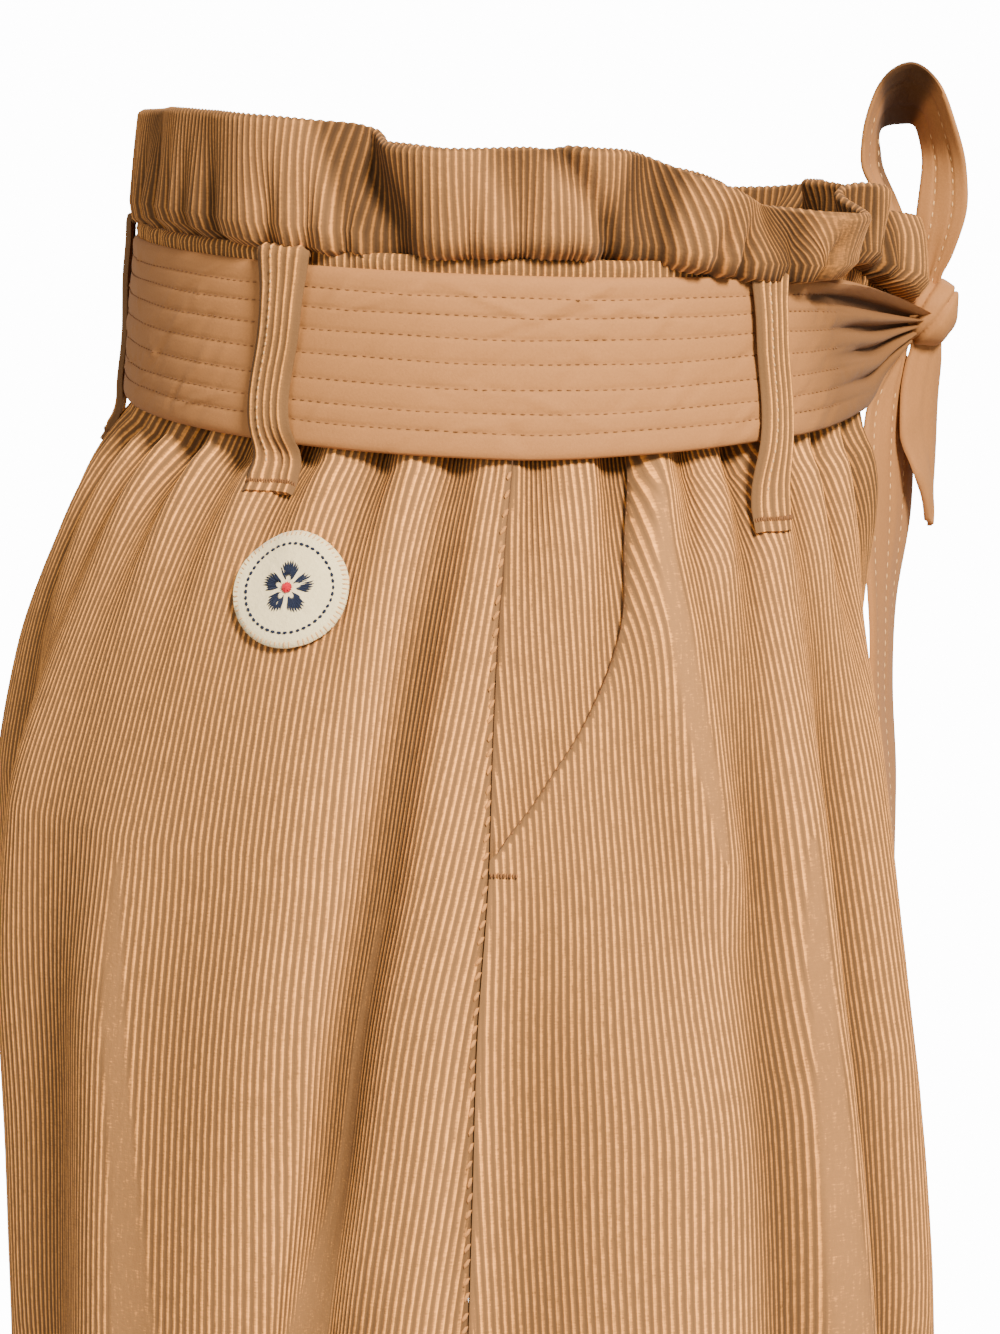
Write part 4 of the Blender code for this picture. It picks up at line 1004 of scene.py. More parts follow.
RUFFLE_WAVES = (
    (0.04, 0.06, -3.0), (0.17, 0.07, 1.0), (0.31, 0.07, -1.2), (0.45, 0.08, 1.0), (0.62, 0.08, 3.2),
    (0.775, 0.042, -7.0), (0.90, 0.06, 4.0), (1.065, 0.022, -3.4), (1.11, 0.05, 3.5), (1.205, 0.04, -5.0),
    (1.29, 0.05, 4.5), (1.39, 0.05, -3.0), (1.49, 0.06, 3.5), (1.62, 0.04, -4.8), (1.71, 0.04, 2.5),
    (1.80, 0.04, -2.5), (1.885, 0.045, 3.0), (2.00, 0.05, -1.5), (2.12, 0.05, 3.5), (2.31, 0.045, -5.0),
    (2.44, 0.06, 4.5), (2.57, 0.045, -5.0), (2.70, 0.06, 4.5), (2.84, 0.05, -5.5), (2.98, 0.06, 4.0),
    (3.13, 0.05, -5.5), (3.29, 0.07, 4.5), (3.46, 0.06, -5.0), (3.62, 0.07, 3.0), (3.78, 0.05, -4.5),
    (3.90, 0.05, 3.0),
)
RUFFLE_WAVES = tuple(Wave(*line) for line in RUFFLE_WAVES)
RUFFLE_WRAP = tuple((row[0] + turn, *row[1:]) for turn in (-4.0, 0.0, 4.0) for row in RUFFLE)
RUFFLE_CLOTH, RUFFLE_RIBS = 2.0, 416
dice = np.random.default_rng(5)
tuck_turns = np.arange(0.0, 3.98, 0.071) + dice.uniform(-0.022, 0.022, 57)
TUCKS = [Wave(turn, dice.uniform(0.012, 0.024), -dice.uniform(1.2, 4.2)) for turn in tuck_turns]
SLANTS = dice.uniform(-0.04, 0.06, len(RUFFLE_WAVES))
SLANTS[5:8] = (0.065, 0.05, 0.08)
DEPTHS = np.full(len(RUFFLE_WAVES), 1.6)
DEPTHS[5:8] = (2.1, 1.7, 1.6)
Shadow = namedtuple("Shadow", "turn step width height amount")
RUFFLE_SHADE = (
    Shadow(0.52, 0.22, 0.10, 0.28, 0.45), Shadow(0.27, 0.15, 0.10, 0.34, 0.35),
    Shadow(1.27, 0.35, 0.05, 0.5, 0.4), Shadow(1.62, 0.8, 0.07, 0.4, 0.8),
    Shadow(1.37, 0.15, 0.08, 0.25, 0.3),
)
RUFFLE_STEPS = np.array([0.0, 0.06, 0.13, 0.21, 0.30, 0.40, 0.50, 0.60, 0.70, 0.80, 0.89, 0.96, 1.0])
RIB_MARK, FOOT_PUFF = 2.5, 2.5
FOOT_SAG, FRONT_SAG, ROLL_SAG = 2.6, 7.0, 4.6
FRONT_BELLY, FRONT_LEAN = 10.5, 5.0
ROLL_TURN, FLAT_TURN, CROWD_TURN = 1.42, 1.47, 1.34
print("tucks round the ruffle:", len(TUCKS))


# %% The ruffle's surface
def ruffle_surface(turn, step):
    """Middle of the folded ruffle at places round the waist and shares of its height."""
    sizes = RUFFLE_COLUMNS[1:]
    top, belly, lean = (read(RUFFLE_WRAP, RUFFLE_COLUMNS, name, np.mod(turn, 4.0)) for name in sizes)
    base = gather_level(turn) + SEAM_GAP
    waves = 0.0
    for wave, slant, deep in zip(RUFFLE_WAVES, SLANTS, DEPTHS):
        leaning = wave.turn + slant * (1.0 - step)
        waves = waves + deep * wave.out * bump(round_distance(turn, leaning), wave.width)
    rolled = FOOT_PUFF + belly + (lean - belly - FOOT_PUFF) * step
    out = RUFFLE_PINCH + smooth(step / RUFFLE_SWELL) * rolled
    out = out + waves * step**RUFFLE_WAVE_GROWTH
    for tuck in TUCKS:
        folded = bump(round_distance(turn, tuck.turn), tuck.width)
        out = out + tuck.out * folded * smooth(1.15 - step) ** 1.6
    front = round_distance(turn, 2.0)
    sag = FOOT_SAG * bump(step - 0.1, 0.09) * (1.0 + 0.6 * np.sin(turn * 9.0 + 1.0))
    sag = sag + FRONT_SAG * bump(front, 0.13) * (1.0 - step)
    sag = sag + ROLL_SAG * bump(round_distance(turn, ROLL_TURN), 0.22) * (1.0 - step) ** 2
    out = out + FRONT_BELLY * bump(front, 0.15) * (1.0 - step)
    out = out - FRONT_LEAN * bump(front, 0.12) * step
    return place(turn, base + (top - base) * step - sag, out)


column = np.arange(RUFFLE_RIBS * RIB_STEPS)
even_turn = column * 4.0 / len(column)
middle = []
for step in RUFFLE_STEPS:
    crowd = np.zeros_like(even_turn)
    for wave in TUCKS:
        apart = round_distance(even_turn, wave.turn) / wave.width
        crowd += 0.42 * wave.width * apart * np.exp(-apart * apart / 2.0) * (1.0 - step) ** 1.3
    crowd -= 0.08 * bump(round_distance(even_turn, CROWD_TURN), 0.13) * (1.0 - step)
    middle.append(ruffle_surface(even_turn - crowd, step))
middle = np.array(middle)
up = np.gradient(middle, axis=0)
facing = unit(np.cross(up, np.roll(middle, -1, axis=1) - np.roll(middle, 1, axis=1)))
facing *= np.sign((facing[:, :, :2] * middle[:, :, :2]).sum(axis=2).mean())
print("columns round the ruffle:", len(column))

# %% Make the ruffle, closed over its fold
# Near FLAT_TURN the ribs lie flatter and take a colour near the crests: a painted highlight on a smooth fold.
flat = bump(round_distance(even_turn, FLAT_TURN), 0.03)
rib = RIB_SHAPE[column % RIB_STEPS] * (1.0 - flat) + 0.75 * flat
raised = rib[None, :, None] * RIB_HEIGHT
top_lift = unit(up[-1])
outside = middle + facing * raised
inside = middle - facing * (RUFFLE_CLOTH + raised)
fold_row = middle[-1] - facing[-1] * RUFFLE_CLOTH / 2.0 + top_lift * (1.0 + raised[0])
fold_out = middle[-1] - facing[-1] * (0.25 - 0.7 * raised[0]) + top_lift * 0.65
fold_in = middle[-1] - facing[-1] * (RUFFLE_CLOTH - 0.25 + 0.7 * raised[0]) + top_lift * 0.65
loop = np.concatenate([outside, fold_out[None], fold_row[None], fold_in[None], inside[::-1]])
# Painted shade over the frill: a little everywhere, more where it folds in and at the listed shadows, lighter
# where it bulges, more over the fold and on the inside.
reach = np.linalg.norm(middle[:, :, :2], axis=2)
even = np.array([averaged(line, np.ones(141) / 141.0, "wrap") for line in reach])
dip = 0.2 + (even - reach) / 4.0
for shadow in RUFFLE_SHADE:
    beside = bump(round_distance(even_turn, shadow.turn), shadow.width)[None, :]
    dip = dip + shadow.amount * beside * bump(RUFFLE_STEPS[:, None] - shadow.step, shadow.height)
dip = np.clip(dip, -0.15, 0.8)
dip = np.concatenate([dip, np.full((3, len(column)), 0.3), np.full(dip.shape, 0.6)])
climb = np.arange(len(loop))[:, None] * RIB_MARK
marks = np.stack(np.broadcast_arrays(column * RIB_PITCH / RIB_STEPS, climb, rib, dip), axis=-1)
frill = keyed_grid(loop, ring=True, closed=True)[0]
bmesh.ops.recalc_face_normals(frill, faces=frill.faces)
frill_mesh = mesh_of(frill, "ruffle_frill")
mark_cloth(frill_mesh, marks)
ruffle = show("ruffle_frill", frill_mesh, (shaded_frill_cloth,))
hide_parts("ruffle")

# %% [markdown]
# ## Waistband
# Behind the belt the waistband holds the gathers flat. Only a narrow strip of it shows between the
# belt's top edge and the ruffle, where the ribs stand close together in small puffs.

# %% Make the waistband
BAND_RIBS = 400
BAND_SUNK, BAND_INSIDE, BAND_PAINTED_SHADE = 0.3, 1.6, 0.25
BAND_ROWS = (
    (0.0, 0.0), (0.12, 0.1), (0.5, 0.0), (0.86, 0.1), (0.92, 0.9), (0.96, 1.3), (0.985, 0.9), (1.0, 0.1),
)
column = np.arange(BAND_RIBS * RIB_STEPS)
turn = column * 4.0 / len(column)
rib = RIB_SHAPE[column % RIB_STEPS]
top = gather_level(turn)
puff = 0.5 * sum(tuck.out * bump(round_distance(turn, tuck.turn), tuck.width) for tuck in TUCKS)
outer = []
inner = []
marks = []
for share, swell in BAND_ROWS:
    level = TOP_SEAM + (top - TOP_SEAM) * share
    lift = swell * (1.0 + 0.6 * puff) + rib * (0.4 if share > 0.9 else 0.1)
    outer.append(place(turn, level, lift - BAND_SUNK))
    inner.append(place(turn, level, -BAND_INSIDE))
    # An even painted shade over the strip between the belt and the ruffle.
    hollow = np.full(len(column), BAND_PAINTED_SHADE)
    marks.append(np.column_stack([column * RIB_PITCH / RIB_STEPS, level, rib, hollow]))
outer, inner, marks = map(np.array, (outer, inner, marks))
band = lay_cloth("waistband_cloth", outer, inner, marks, (rib_cloth, reverse_cloth), ring=True)
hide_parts("waistband")

# %% [markdown]
# ## Sash
# The sash is two layers of smooth cotton held by seven rows of stitches, so it puffs a little between
# the rows and wrinkles across them. Towards the knot it narrows and falls into pleats.

# %% Tables of the sash
BELT_EDGE_COLUMNS = ("from_front", "bottom", "top", "out")
BELT_EDGE = (
    (9.6, -2.5, 7.0, 10.0),
    (20.0, -9.5, 10.5, 5.2),
    (38.0, -15.8, 14.6, 2.2),
    (60.0, -17.4, 18.2, 0.5),
    (90.0, -18.8, 21.4, 0.0),
    (118.0, -19.6, 22.7, 0.0),
    (150.0, -21.4, 22.7, 0.0),
    (183.0, -23.0, 22.7, 0.0),
    (260.0, -22.2, 22.7, 0.0),
    (366.0, -20.5, 22.7, 0.0),
)
STITCH_ROWS = (0.143, 0.25, 0.38, 0.52, 0.654, 0.775, 0.88)
Pleat = namedtuple("Pleat", "share width height")
PLEATS = (
    Pleat(0.968, 0.055, 4.8), Pleat(0.855, 0.032, -4.8), Pleat(0.75, 0.06, 3.0), Pleat(0.655, 0.028, -3.2),
    Pleat(0.57, 0.06, 2.2), Pleat(0.47, 0.028, -2.6), Pleat(0.36, 0.07, 2.0), Pleat(0.25, 0.03, -1.4),
    Pleat(0.13, 0.09, 1.2),
)
ROLLED_ABOVE = 0.8
PLEATED_TO, PLEATS_GROW, ROLLED_TO, ROLL_GROWS = 88.0, 62.0, 105.0, 45.0
SASH_LIFT, SASH_SEED, SASH_PUFF, SASH_HEIGHT = 1.15, 21, 0.36, 42.0
WRINKLES = 340
SASH_ROW_STOPS = np.array([0.0, 0.1, 0.28, 0.5, 0.72, 0.9])


def pleated_at(turn):
    """How far the sash is pleated: one at the knot, and nothing further round."""
    return smooth((PLEATED_TO - from_front_of(turn)) / PLEATS_GROW)


def pleats_at(turn, share):
    """Height of the pleats that run into the knot."""
    pleated = pleated_at(turn)
    rolled = smooth((ROLLED_TO - from_front_of(turn)) / ROLL_GROWS)
    height = 0.0
    for pleat in PLEATS:
        grown = pleat.height * (rolled if pleat.share > ROLLED_ABOVE else pleated)
        height = height + grown * bump(share - pleat.share, pleat.width)
    return height


def sash_relief(turn, share):
    """Puffs between the stitch rows, wrinkles across them and pleats near the knot."""
    stops = np.array([-0.02, *STITCH_ROWS, 1.02])
    index = np.clip(np.searchsorted(stops, share, side="right") - 1, 0, len(stops) - 2)
    local = (share - stops[index]) / (stops[index + 1] - stops[index])
    puff = SASH_PUFF * np.sin(math.pi * np.clip(local, 0.0, 1.0)) ** 0.4
    pleated = pleated_at(turn)
    height = puff * (1.0 - 0.7 * pleated) + pleats_at(turn, share)
    dice = np.random.default_rng(SASH_SEED)
    for _ in range(WRINKLES):
        middle = dice.uniform(-1.95, 1.95)
        channel = dice.uniform(0.05, 0.95)
        slant = dice.uniform(0.2, 1.5) * (1.0 if dice.random() > 0.25 else -0.6)
        tall = dice.uniform(0.2, 0.62) * (1.0 if dice.random() > 0.3 else -1.0)
        run = (round_distance(turn, 0.0) - middle) * QUARTER_LENGTH
        rise = (share - channel) * SASH_HEIGHT
        across = run - rise / slant
        reach = dice.uniform(2.2, 5.5)
        height = height + tall * bump(across, dice.uniform(0.9, 2.0)) * bump(rise, reach) * (1.0 - pleated)
    return height


def sash_place(turn, share, lift):
    """A point on the sash: place round the waist, share from its bottom to its top edge, and height."""
    from_front = from_front_of(turn)
    names = BELT_EDGE_COLUMNS[1:]
    bottom, top, out = (read(BELT_EDGE, BELT_EDGE_COLUMNS, name, from_front) for name in names)
    return place(turn, bottom + (top - bottom) * share, out + RIDE_GAP + lift)


# %% Make the sash round the waist
nearest = BELT_EDGE[0][0] / QUARTER_LENGTH
turn = (2.0 - nearest) * np.linspace(-1.0, 1.0, 470)
stops = (0.0, *STITCH_ROWS, 1.0)
shares = [low + (high - low) * SASH_ROW_STOPS for low, high in zip(stops[:-1], stops[1:])]
outer = []
inner = []
marks = []
for share in np.concatenate([*shares, [1.0]]):
    edge = 1.0 - 0.55 * (bump(share, 0.015) + bump(1.0 - share, 0.015))
    outer.append(sash_place(turn, share, (SASH_LIFT + sash_relief(turn, share)) * edge))
    inner.append(sash_place(turn, share, 0.05 + 0.3 * (1.0 - edge)))
    # Painted shade: darker towards the knot, less on the top roll, and darker in the pleats' valleys.
    shade = 0.6 * smooth((106.0 - from_front_of(turn)) / 34.0) * (1.0 - 0.9 * bump(share - 0.98, 0.075))
    shade = np.clip(shade + np.clip(-pleats_at(turn, share) / 3.6, 0.0, 0.5), 0.0, 0.95)
    even = np.ones(len(turn))
    marks.append(np.column_stack([turn * QUARTER_LENGTH, even * share, even, shade]))
outer, inner, marks = map(np.array, (outer, inner, marks))
sash = lay_cloth("sash_round_waist", outer, inner, marks, (sash_cloth,))
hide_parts("belt")

# %% [markdown]
# ## Stitches
# A stitch is a short thread that dips into the cloth at both ends. One small ball is stretched along the
# seam for each, so hundreds of them stay light.


# %% Sew rows of stitches
LOT = 40


def sew(name, rows, thread, size):
    """One piece of many stitches; each row is (points on the cloth, normals), size is (long, thick, sunk)."""
    long, thick, sunk = size
    places = []
    for points, normals in rows:
        for start, end, facing in zip(points[:-1:2], points[1::2], normals[::2]):
            course = Vector(end - start)
            if course.length < 0.2:
                continue
            facing = Vector(facing).normalized()
            side = facing.cross(course).normalized()
            turn = Matrix((course.normalized(), side, facing)).transposed().to_4x4()
            middle = (Vector(start) + Vector(end)) / 2.0 - facing * sunk
            shape = Matrix.Diagonal((long / 2.0, thick / 2.0, thick / 2.0, 1.0))
            places.append(Matrix.Translation(middle * MM) @ turn @ shape @ Matrix.Scale(MM, 4))
    stitches = bmesh.new()
    for first in range(0, len(places), LOT):
        lot = bmesh.new()
        for where in places[first : first + LOT]:
            bmesh.ops.create_uvsphere(lot, u_segments=5, v_segments=3, radius=1.0, matrix=where)
        small = mesh_of(lot, "lot")
        stitches.from_mesh(small)
        bpy.data.meshes.remove(small)
    mesh = mesh_of(stitches, name)
    return show(name, mesh, (thread,))


def normals_from(place_at, turn, share):
    """Outward normals of a surface given by a function of two numbers."""
    step = 1e-3
    across = place_at(turn + step, share) - place_at(turn - step, share)
    up = place_at(turn, share + step) - place_at(turn, share - step)
    facing = unit(np.cross(across, up))
    outward = np.sign((facing[..., :2] * place_at(turn, share)[..., :2]).sum(axis=-1, keepdims=True))
    return facing * outward


# %% Stitch the sash
STITCHED_TO = 2.0 - 72.0 / QUARTER_LENGTH
SASH_STITCH_STEP = 1.15 / QUARTER_LENGTH
rows = []
for share in STITCH_ROWS:
    turn = np.arange(-STITCHED_TO, STITCHED_TO, SASH_STITCH_STEP)
    wobble = 0.004 * np.sin(turn * 23.0 + share * 40.0)
    points = sash_place(turn, share + wobble, SASH_LIFT + sash_relief(turn, share + wobble))
    rows.append((points, normals_from(lambda t, s: sash_place(t, s, 1.3), turn, share + wobble)))
sash_stitches = sew("sash_stitches", rows, tan_thread_and_shade, (1.5, 0.42, 0.0))

# %% [markdown]
# ## Carriers
# Five ribbed strips hold the sash. Each starts in the gathering seam, runs down over the sash and is
# caught on the panel below by a dense bar of stitches, just above its end.

# %% Tables of the carriers
Carrier = namedtuple("Carrier", "name top_turn bottom_turn end bend")
LOOPS = (
    Carrier("belt_loop_centre_back", 0.0, 0.0, -30.5, 0.0),
    Carrier("belt_loop_right_back", 0.680, 0.681, -28.5, -0.019),
    Carrier("belt_loop_right_front", 1.3995, 1.374, -36.0, 0.018),
    Carrier("belt_loop_left_front", 2.59, 2.595, -32.5, 0.006),
    Carrier("belt_loop_left_back", 3.31, 3.30, -31.0, -0.008),
)
LOOP_PATH = (
    (25.4, 2.4), (26.6, 3.0), (27.4, 4.0), (26.9, 5.0), (25.0, 5.3), (20.0, 5.1), (12.0, 5.0), (4.0, 4.7),
    (-4.0, 4.6), (-12.0, 4.6), (-19.0, 4.8),
)
LOOP_HALF_WIDTH, LOOP_CLOTH, LOOP_RIDES = 6.0, 1.6, 0.35
LOOP_COLUMNS = np.linspace(-1.0, 1.0, 25)
LOOP_ACROSS = LOOP_COLUMNS * LOOP_HALF_WIDTH / QUARTER_LENGTH
LOOP_RIB = RIB_SHAPE[(np.arange(25) + 2) % RIB_STEPS] * (np.abs(LOOP_COLUMNS) < 0.9)
LOOP_EDGE = -0.95 * smooth((np.abs(LOOP_COLUMNS) - 0.72) / 0.28)
BAR_BELOW, END_BELOW = 3.4, 5.2
BAR_REACH = np.array((0.0, 0.0, 0.9))
print("belt loops:", len(LOOPS))


# %% Find the cloth under a place
def tree_of(piece):
    """A search tree of a piece's own faces."""
    mesh = piece.data
    points = [vert.co.copy() for vert in mesh.vertices]
    return BVHTree.FromPolygons(points, [tuple(face.vertices) for face in mesh.polygons])


trees = [tree_of(panels[name]) for name in ("back_right", "back_left", "front_right", "front_left")]
trees += [tree_of(panels[name]) for name in ("pocket_facing_right", "pocket_facing_left")]


def land(point, towards):
    """Where a point, sent towards the garment from outside, meets the outermost cloth."""
    direction = Vector(towards).normalized()
    start = Vector(point) * MM - direction * 0.1
    hits = [tree.ray_cast(start, direction) for tree in trees]
    hits = [hit for hit in hits if hit[0] is not None]
    if not hits:
        return land(np.array(point) + (0.5, 0.5, 0.0), towards)
    return np.array(min(hits, key=lambda hit: hit[3])[0]) / MM


print("search trees:", len(trees))


# %% Shape the carriers
def turn_at(carrier, level):
    """Place of a carrier's middle round the waist at a level."""
    share = (25.0 - level) / (25.0 - carrier.end)
    straight = carrier.top_turn + (carrier.bottom_turn - carrier.top_turn) * share
    return straight + carrier.bend * bump(level + 12.0, 14.0)


def path_over():
    """Levels and heights of the way over the sash, in even steps."""
    path = []
    for (level_a, out_a), (level_b, out_b) in zip(LOOP_PATH[:-1], LOOP_PATH[1:]):
        count = max(1, int(abs(level_b - level_a) / 2.6))
        for part in range(count):
            share = part / count
            path.append((level_a + (level_b - level_a) * share, out_a + (out_b - out_a) * share))
    return path


PATH = path_over()


def landed_rows(carrier):
    """Levels from the sash down to a carrier's end, and the heights of the cloth under it there."""
    levels = [LOOP_PATH[-1][0]]
    heights = [np.full(len(LOOP_COLUMNS), 3.2)]
    for below in (-2.5, 0.0, 3.6, END_BELOW):
        level = carrier.end - below
        start = place(turn_at(carrier, level) + LOOP_ACROSS, level, 0.0)
        normals = place(turn_at(carrier, level) + LOOP_ACROSS, level, 1.0) - start
        spots = np.array([land(point, -normal) for point, normal in zip(start, normals)])
        out = averaged(((spots - start) * normals).sum(axis=1), np.ones(7) / 7.0)
        levels.append(level)
        heights.append(np.maximum(out, out.mean() - 0.6))
    return levels, np.array(heights)


def foot_levels(carrier):
    """Levels of the rows between the sash and a carrier's end."""
    return np.linspace(LOOP_PATH[-1][0], carrier.end - END_BELOW, 9)


def carrier_middles(carrier):
    """The middle of a carrier's cloth, row by row: over the sash, and down on the panel to its end."""
    rows = []
    for level, out in PATH:
        turn = turn_at(carrier, level) + LOOP_ACROSS * (1.0 + 0.28 * bump(level - 27.0, 9.0))
        rows.append(place(turn, level, out + 0.25 * np.sin(level / 5.0 + carrier.top_turn * 9.0)))
    levels, heights = landed_rows(carrier)
    for level in foot_levels(carrier):
        out = between(level, levels[::-1], heights[::-1])[0]
        catch = 0.5 * bump(level - (carrier.end - BAR_BELOW), 0.9)
        rows.append(place(turn_at(carrier, level) + LOOP_ACROSS, level, out + LOOP_CLOTH + LOOP_RIDES - catch))
    rows = np.array(rows)
    eased = rows.copy()
    for k in range(len(PATH) - 4, len(rows) - 3):
        eased[k] = np.tensordot(EASING, rows[k - 2 : k + 3], axes=1)
    return eased


print("rows over the sash:", len(PATH))

# %% Make the carriers
bar_rows = []
edge_rows = []
for carrier in LOOPS:
    middles = carrier_middles(carrier)
    facing = unit(np.cross(np.gradient(middles, axis=0), np.gradient(middles, axis=1)))
    facing *= np.sign((facing[:, :, :2] * middles[:, :, :2]).sum(axis=2).mean())
    ends = np.minimum(1.0, np.arange(len(middles))[::-1] / 2.0)[:, None]
    raised = (LOOP_RIB * RIB_HEIGHT)[None, :] * ends + LOOP_EDGE[None, :] - 0.5 * (1.0 - ends)
    outer = middles + facing * raised[:, :, None]
    inner = middles - facing * (LOOP_CLOTH + 0.3 * LOOP_EDGE)[None, :, None]
    beside = LOOP_COLUMNS * LOOP_HALF_WIDTH + 60.0 * carrier.top_turn
    marks = np.stack(np.broadcast_arrays(beside, middles[:, :, 2], LOOP_RIB), axis=-1)
    strip = lay_cloth("carrier_" + carrier.name[10:], outer, inner, marks, (rib_cloth,))
    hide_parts(carrier.name)
    row = len(PATH) + int(np.argmin(np.abs(foot_levels(carrier) - (carrier.end - BAR_BELOW))))
    for k in range(1, len(LOOP_COLUMNS) - 1):
        near = outer[row, k] + facing[row, k] * 0.25
        bar_rows.append((np.array([near + BAR_REACH, near - BAR_REACH]), facing[row, k][None]))
    dotted = outer[3 : row - 1, 8] + facing[3 : row - 1, 8] * 0.05
    fine = between(np.arange(0, len(dotted) - 1, 0.42), np.arange(len(dotted)), dotted)
    edge_rows.append((fine, np.repeat(facing[row, 8][None], len(fine), axis=0)))
sew("carrier_bars", bar_rows, tan_thread_and_shade, (1.7, 0.6, 0.1))
sew("carrier_stitches", edge_rows, pale_thread, (1.3, 0.5, 0.0))

# %% [markdown]
# ## Knot, bow and tails
# The sash ends are tied once: a small wrapped knot, one upright loop and two tails. Each ribbon is laid
# through stations, with its middle and half its width given as a vector, and softened between them.

# %% Tables of the bow
KNOT_CENTRE = (0.0, -120.6, 2.6)
KNOT_HALF = (9.0, 7.6, 8.6)
BOW_LOOP = (
    (-1.5, -120.8, 11.6, -1.5, -3.8, 0.5),
    (-3.0, -122.2, 19.0, -2.0, -5.4, 0.0),
    (-5.5, -124.2, 31.0, -2.5, -6.8, 0.5),
    (-6.0, -124.6, 43.0, -4.5, -5.6, 0.5),
    (-4.0, -122.8, 53.5, -10.0, -3.6, 2.5),
    (-1.0, -120.0, 60.8, -13.0, -1.8, 6.0),
    (1.0, -114.4, 63.6, -13.5, 0.0, 8.6),
    (2.0, -108.2, 61.0, -13.0, 1.2, 7.0),
    (2.5, -105.4, 54.0, -11.0, 2.4, 3.0),
    (2.5, -105.2, 45.0, -9.0, 3.2, 0.0),
    (2.5, -109.6, 34.0, -5.0, 3.0, 1.0),
    (2.2, -114.0, 23.0, -3.6, 2.6, 1.0),
    (1.6, -116.4, 11.8, -2.5, 2.0, 1.0),
)
SHORT_TAIL = (
    (1.0, -121.2, -6.6, -3.5, 4.6, 0.0),
    (1.5, -120.6, -12.0, -4.5, 5.4, 0.0),
    (2.0, -119.8, -20.0, -6.0, 5.8, 0.0),
    (2.5, -119.6, -31.0, -8.0, 5.8, 0.0),
    (3.0, -121.2, -43.0, -8.0, 3.6, 2.0),
    (3.0, -122.4, -51.0, -5.0, 1.8, 3.0),
    (3.0, -122.6, -57.5, -1.0, 0.6, 1.0),
)
LONG_TAIL = (
    (-1.0, -113.8, -6.8, -4.5, 1.2, 0.0),
    (-1.5, -113.0, -13.0, -5.5, 3.8, 0.0),
    (-2.0, -111.4, -23.0, -8.0, 7.4, 0.0),
    (-2.5, -110.8, -38.0, -12.0, 8.2, 0.0),
    (-3.0, -110.6, -58.0, -15.0, 7.8, 0.0),
    (-3.0, -109.6, -82.0, -17.0, 5.2, 0.0),
    (-3.0, -109.8, -107.0, -18.5, 4.6, 0.0),
    (-3.0, -111.6, -131.0, -19.5, 4.2, 0.0),
    (-3.0, -112.6, -155.0, -20.0, 3.0, 3.0),
)


# %% Make the ribbons
RIBBON_CLOTH = 1.5
RIBBON_SHARES = np.linspace(-1.0, 1.0, 25)


def ribbon_rows(stations, looped):
    """Middles and half widths between stations, from inside the knot and, for a loop, back into it."""
    table = np.array(stations)
    into_knot = table[[0, -1]].copy()
    into_knot[:, :3] += 0.55 * (np.array(KNOT_CENTRE) - into_knot[:, :3])
    table = np.vstack([into_knot[:1], table, into_knot[1:] if looped else table[:0]])
    count = len(table)
    at = np.linspace(0.0, count - 1.0, (count - 1) * 9 + 1)
    columns = [tuple((k, table[k, axis]) for k in range(count)) for axis in range(6)]
    rows = np.column_stack([read(column, ("step", "value"), "value", at) for column in columns])
    rows[1:-1] = np.column_stack([averaged(line, EASING) for line in rows.T])[1:-1]
    return rows[:, :3], rows[:, 3:]


def crumpled(crease, count, seed):
    """Small wrinkles over a ribbon's rows and columns."""
    dice = np.random.default_rng(seed)
    ripple = np.zeros((count, len(RIBBON_SHARES)))
    for _ in range(34):
        spot = dice.uniform(0.0, count)
        line = dice.uniform(-1.0, 1.0)
        slant = dice.uniform(-0.15, 0.15)
        wide = dice.uniform(0.12, 0.26)
        far = (np.arange(count) - spot)[:, None]
        tall = crease * dice.uniform(-1.0, 1.0) * bump(far, dice.uniform(4.0, 12.0))
        ripple += tall * bump(RIBBON_SHARES[None, :] - line - slant * far / 10.0, wide)
    return ripple


def sewn_along(outer, inner, facing, lines):
    """Stitch rows along a ribbon's lines, on both its sides, where it doesn't face up or down."""
    steps = np.arange(len(facing))
    within = np.arange(2.0, len(facing) - 3.0, 0.75)
    sewn = []
    for line in lines:
        k = int(round((line + 1.0) * 12))
        seam, back = (between(within, steps, side[:, k]) for side in (outer, inner))
        gaps = np.concatenate([[0.0], np.cumsum(np.linalg.norm(np.diff(seam, axis=0), axis=1))])
        even = np.arange(0.0, gaps[-1], 1.6)
        seam, back = (between(even, gaps, side) for side in (seam, back))
        turned = between(even / gaps[-1] * steps[-1], steps, facing)
        lit = np.abs(turned[:, 2]) < 0.35
        for run in np.split(np.arange(len(even)), np.flatnonzero(np.diff(lit.astype(int))) + 1):
            if lit[run[0]] and len(run) > 2:
                sewn += [(seam[run], turned[run]), (back[run], -turned[run])]
    return sewn


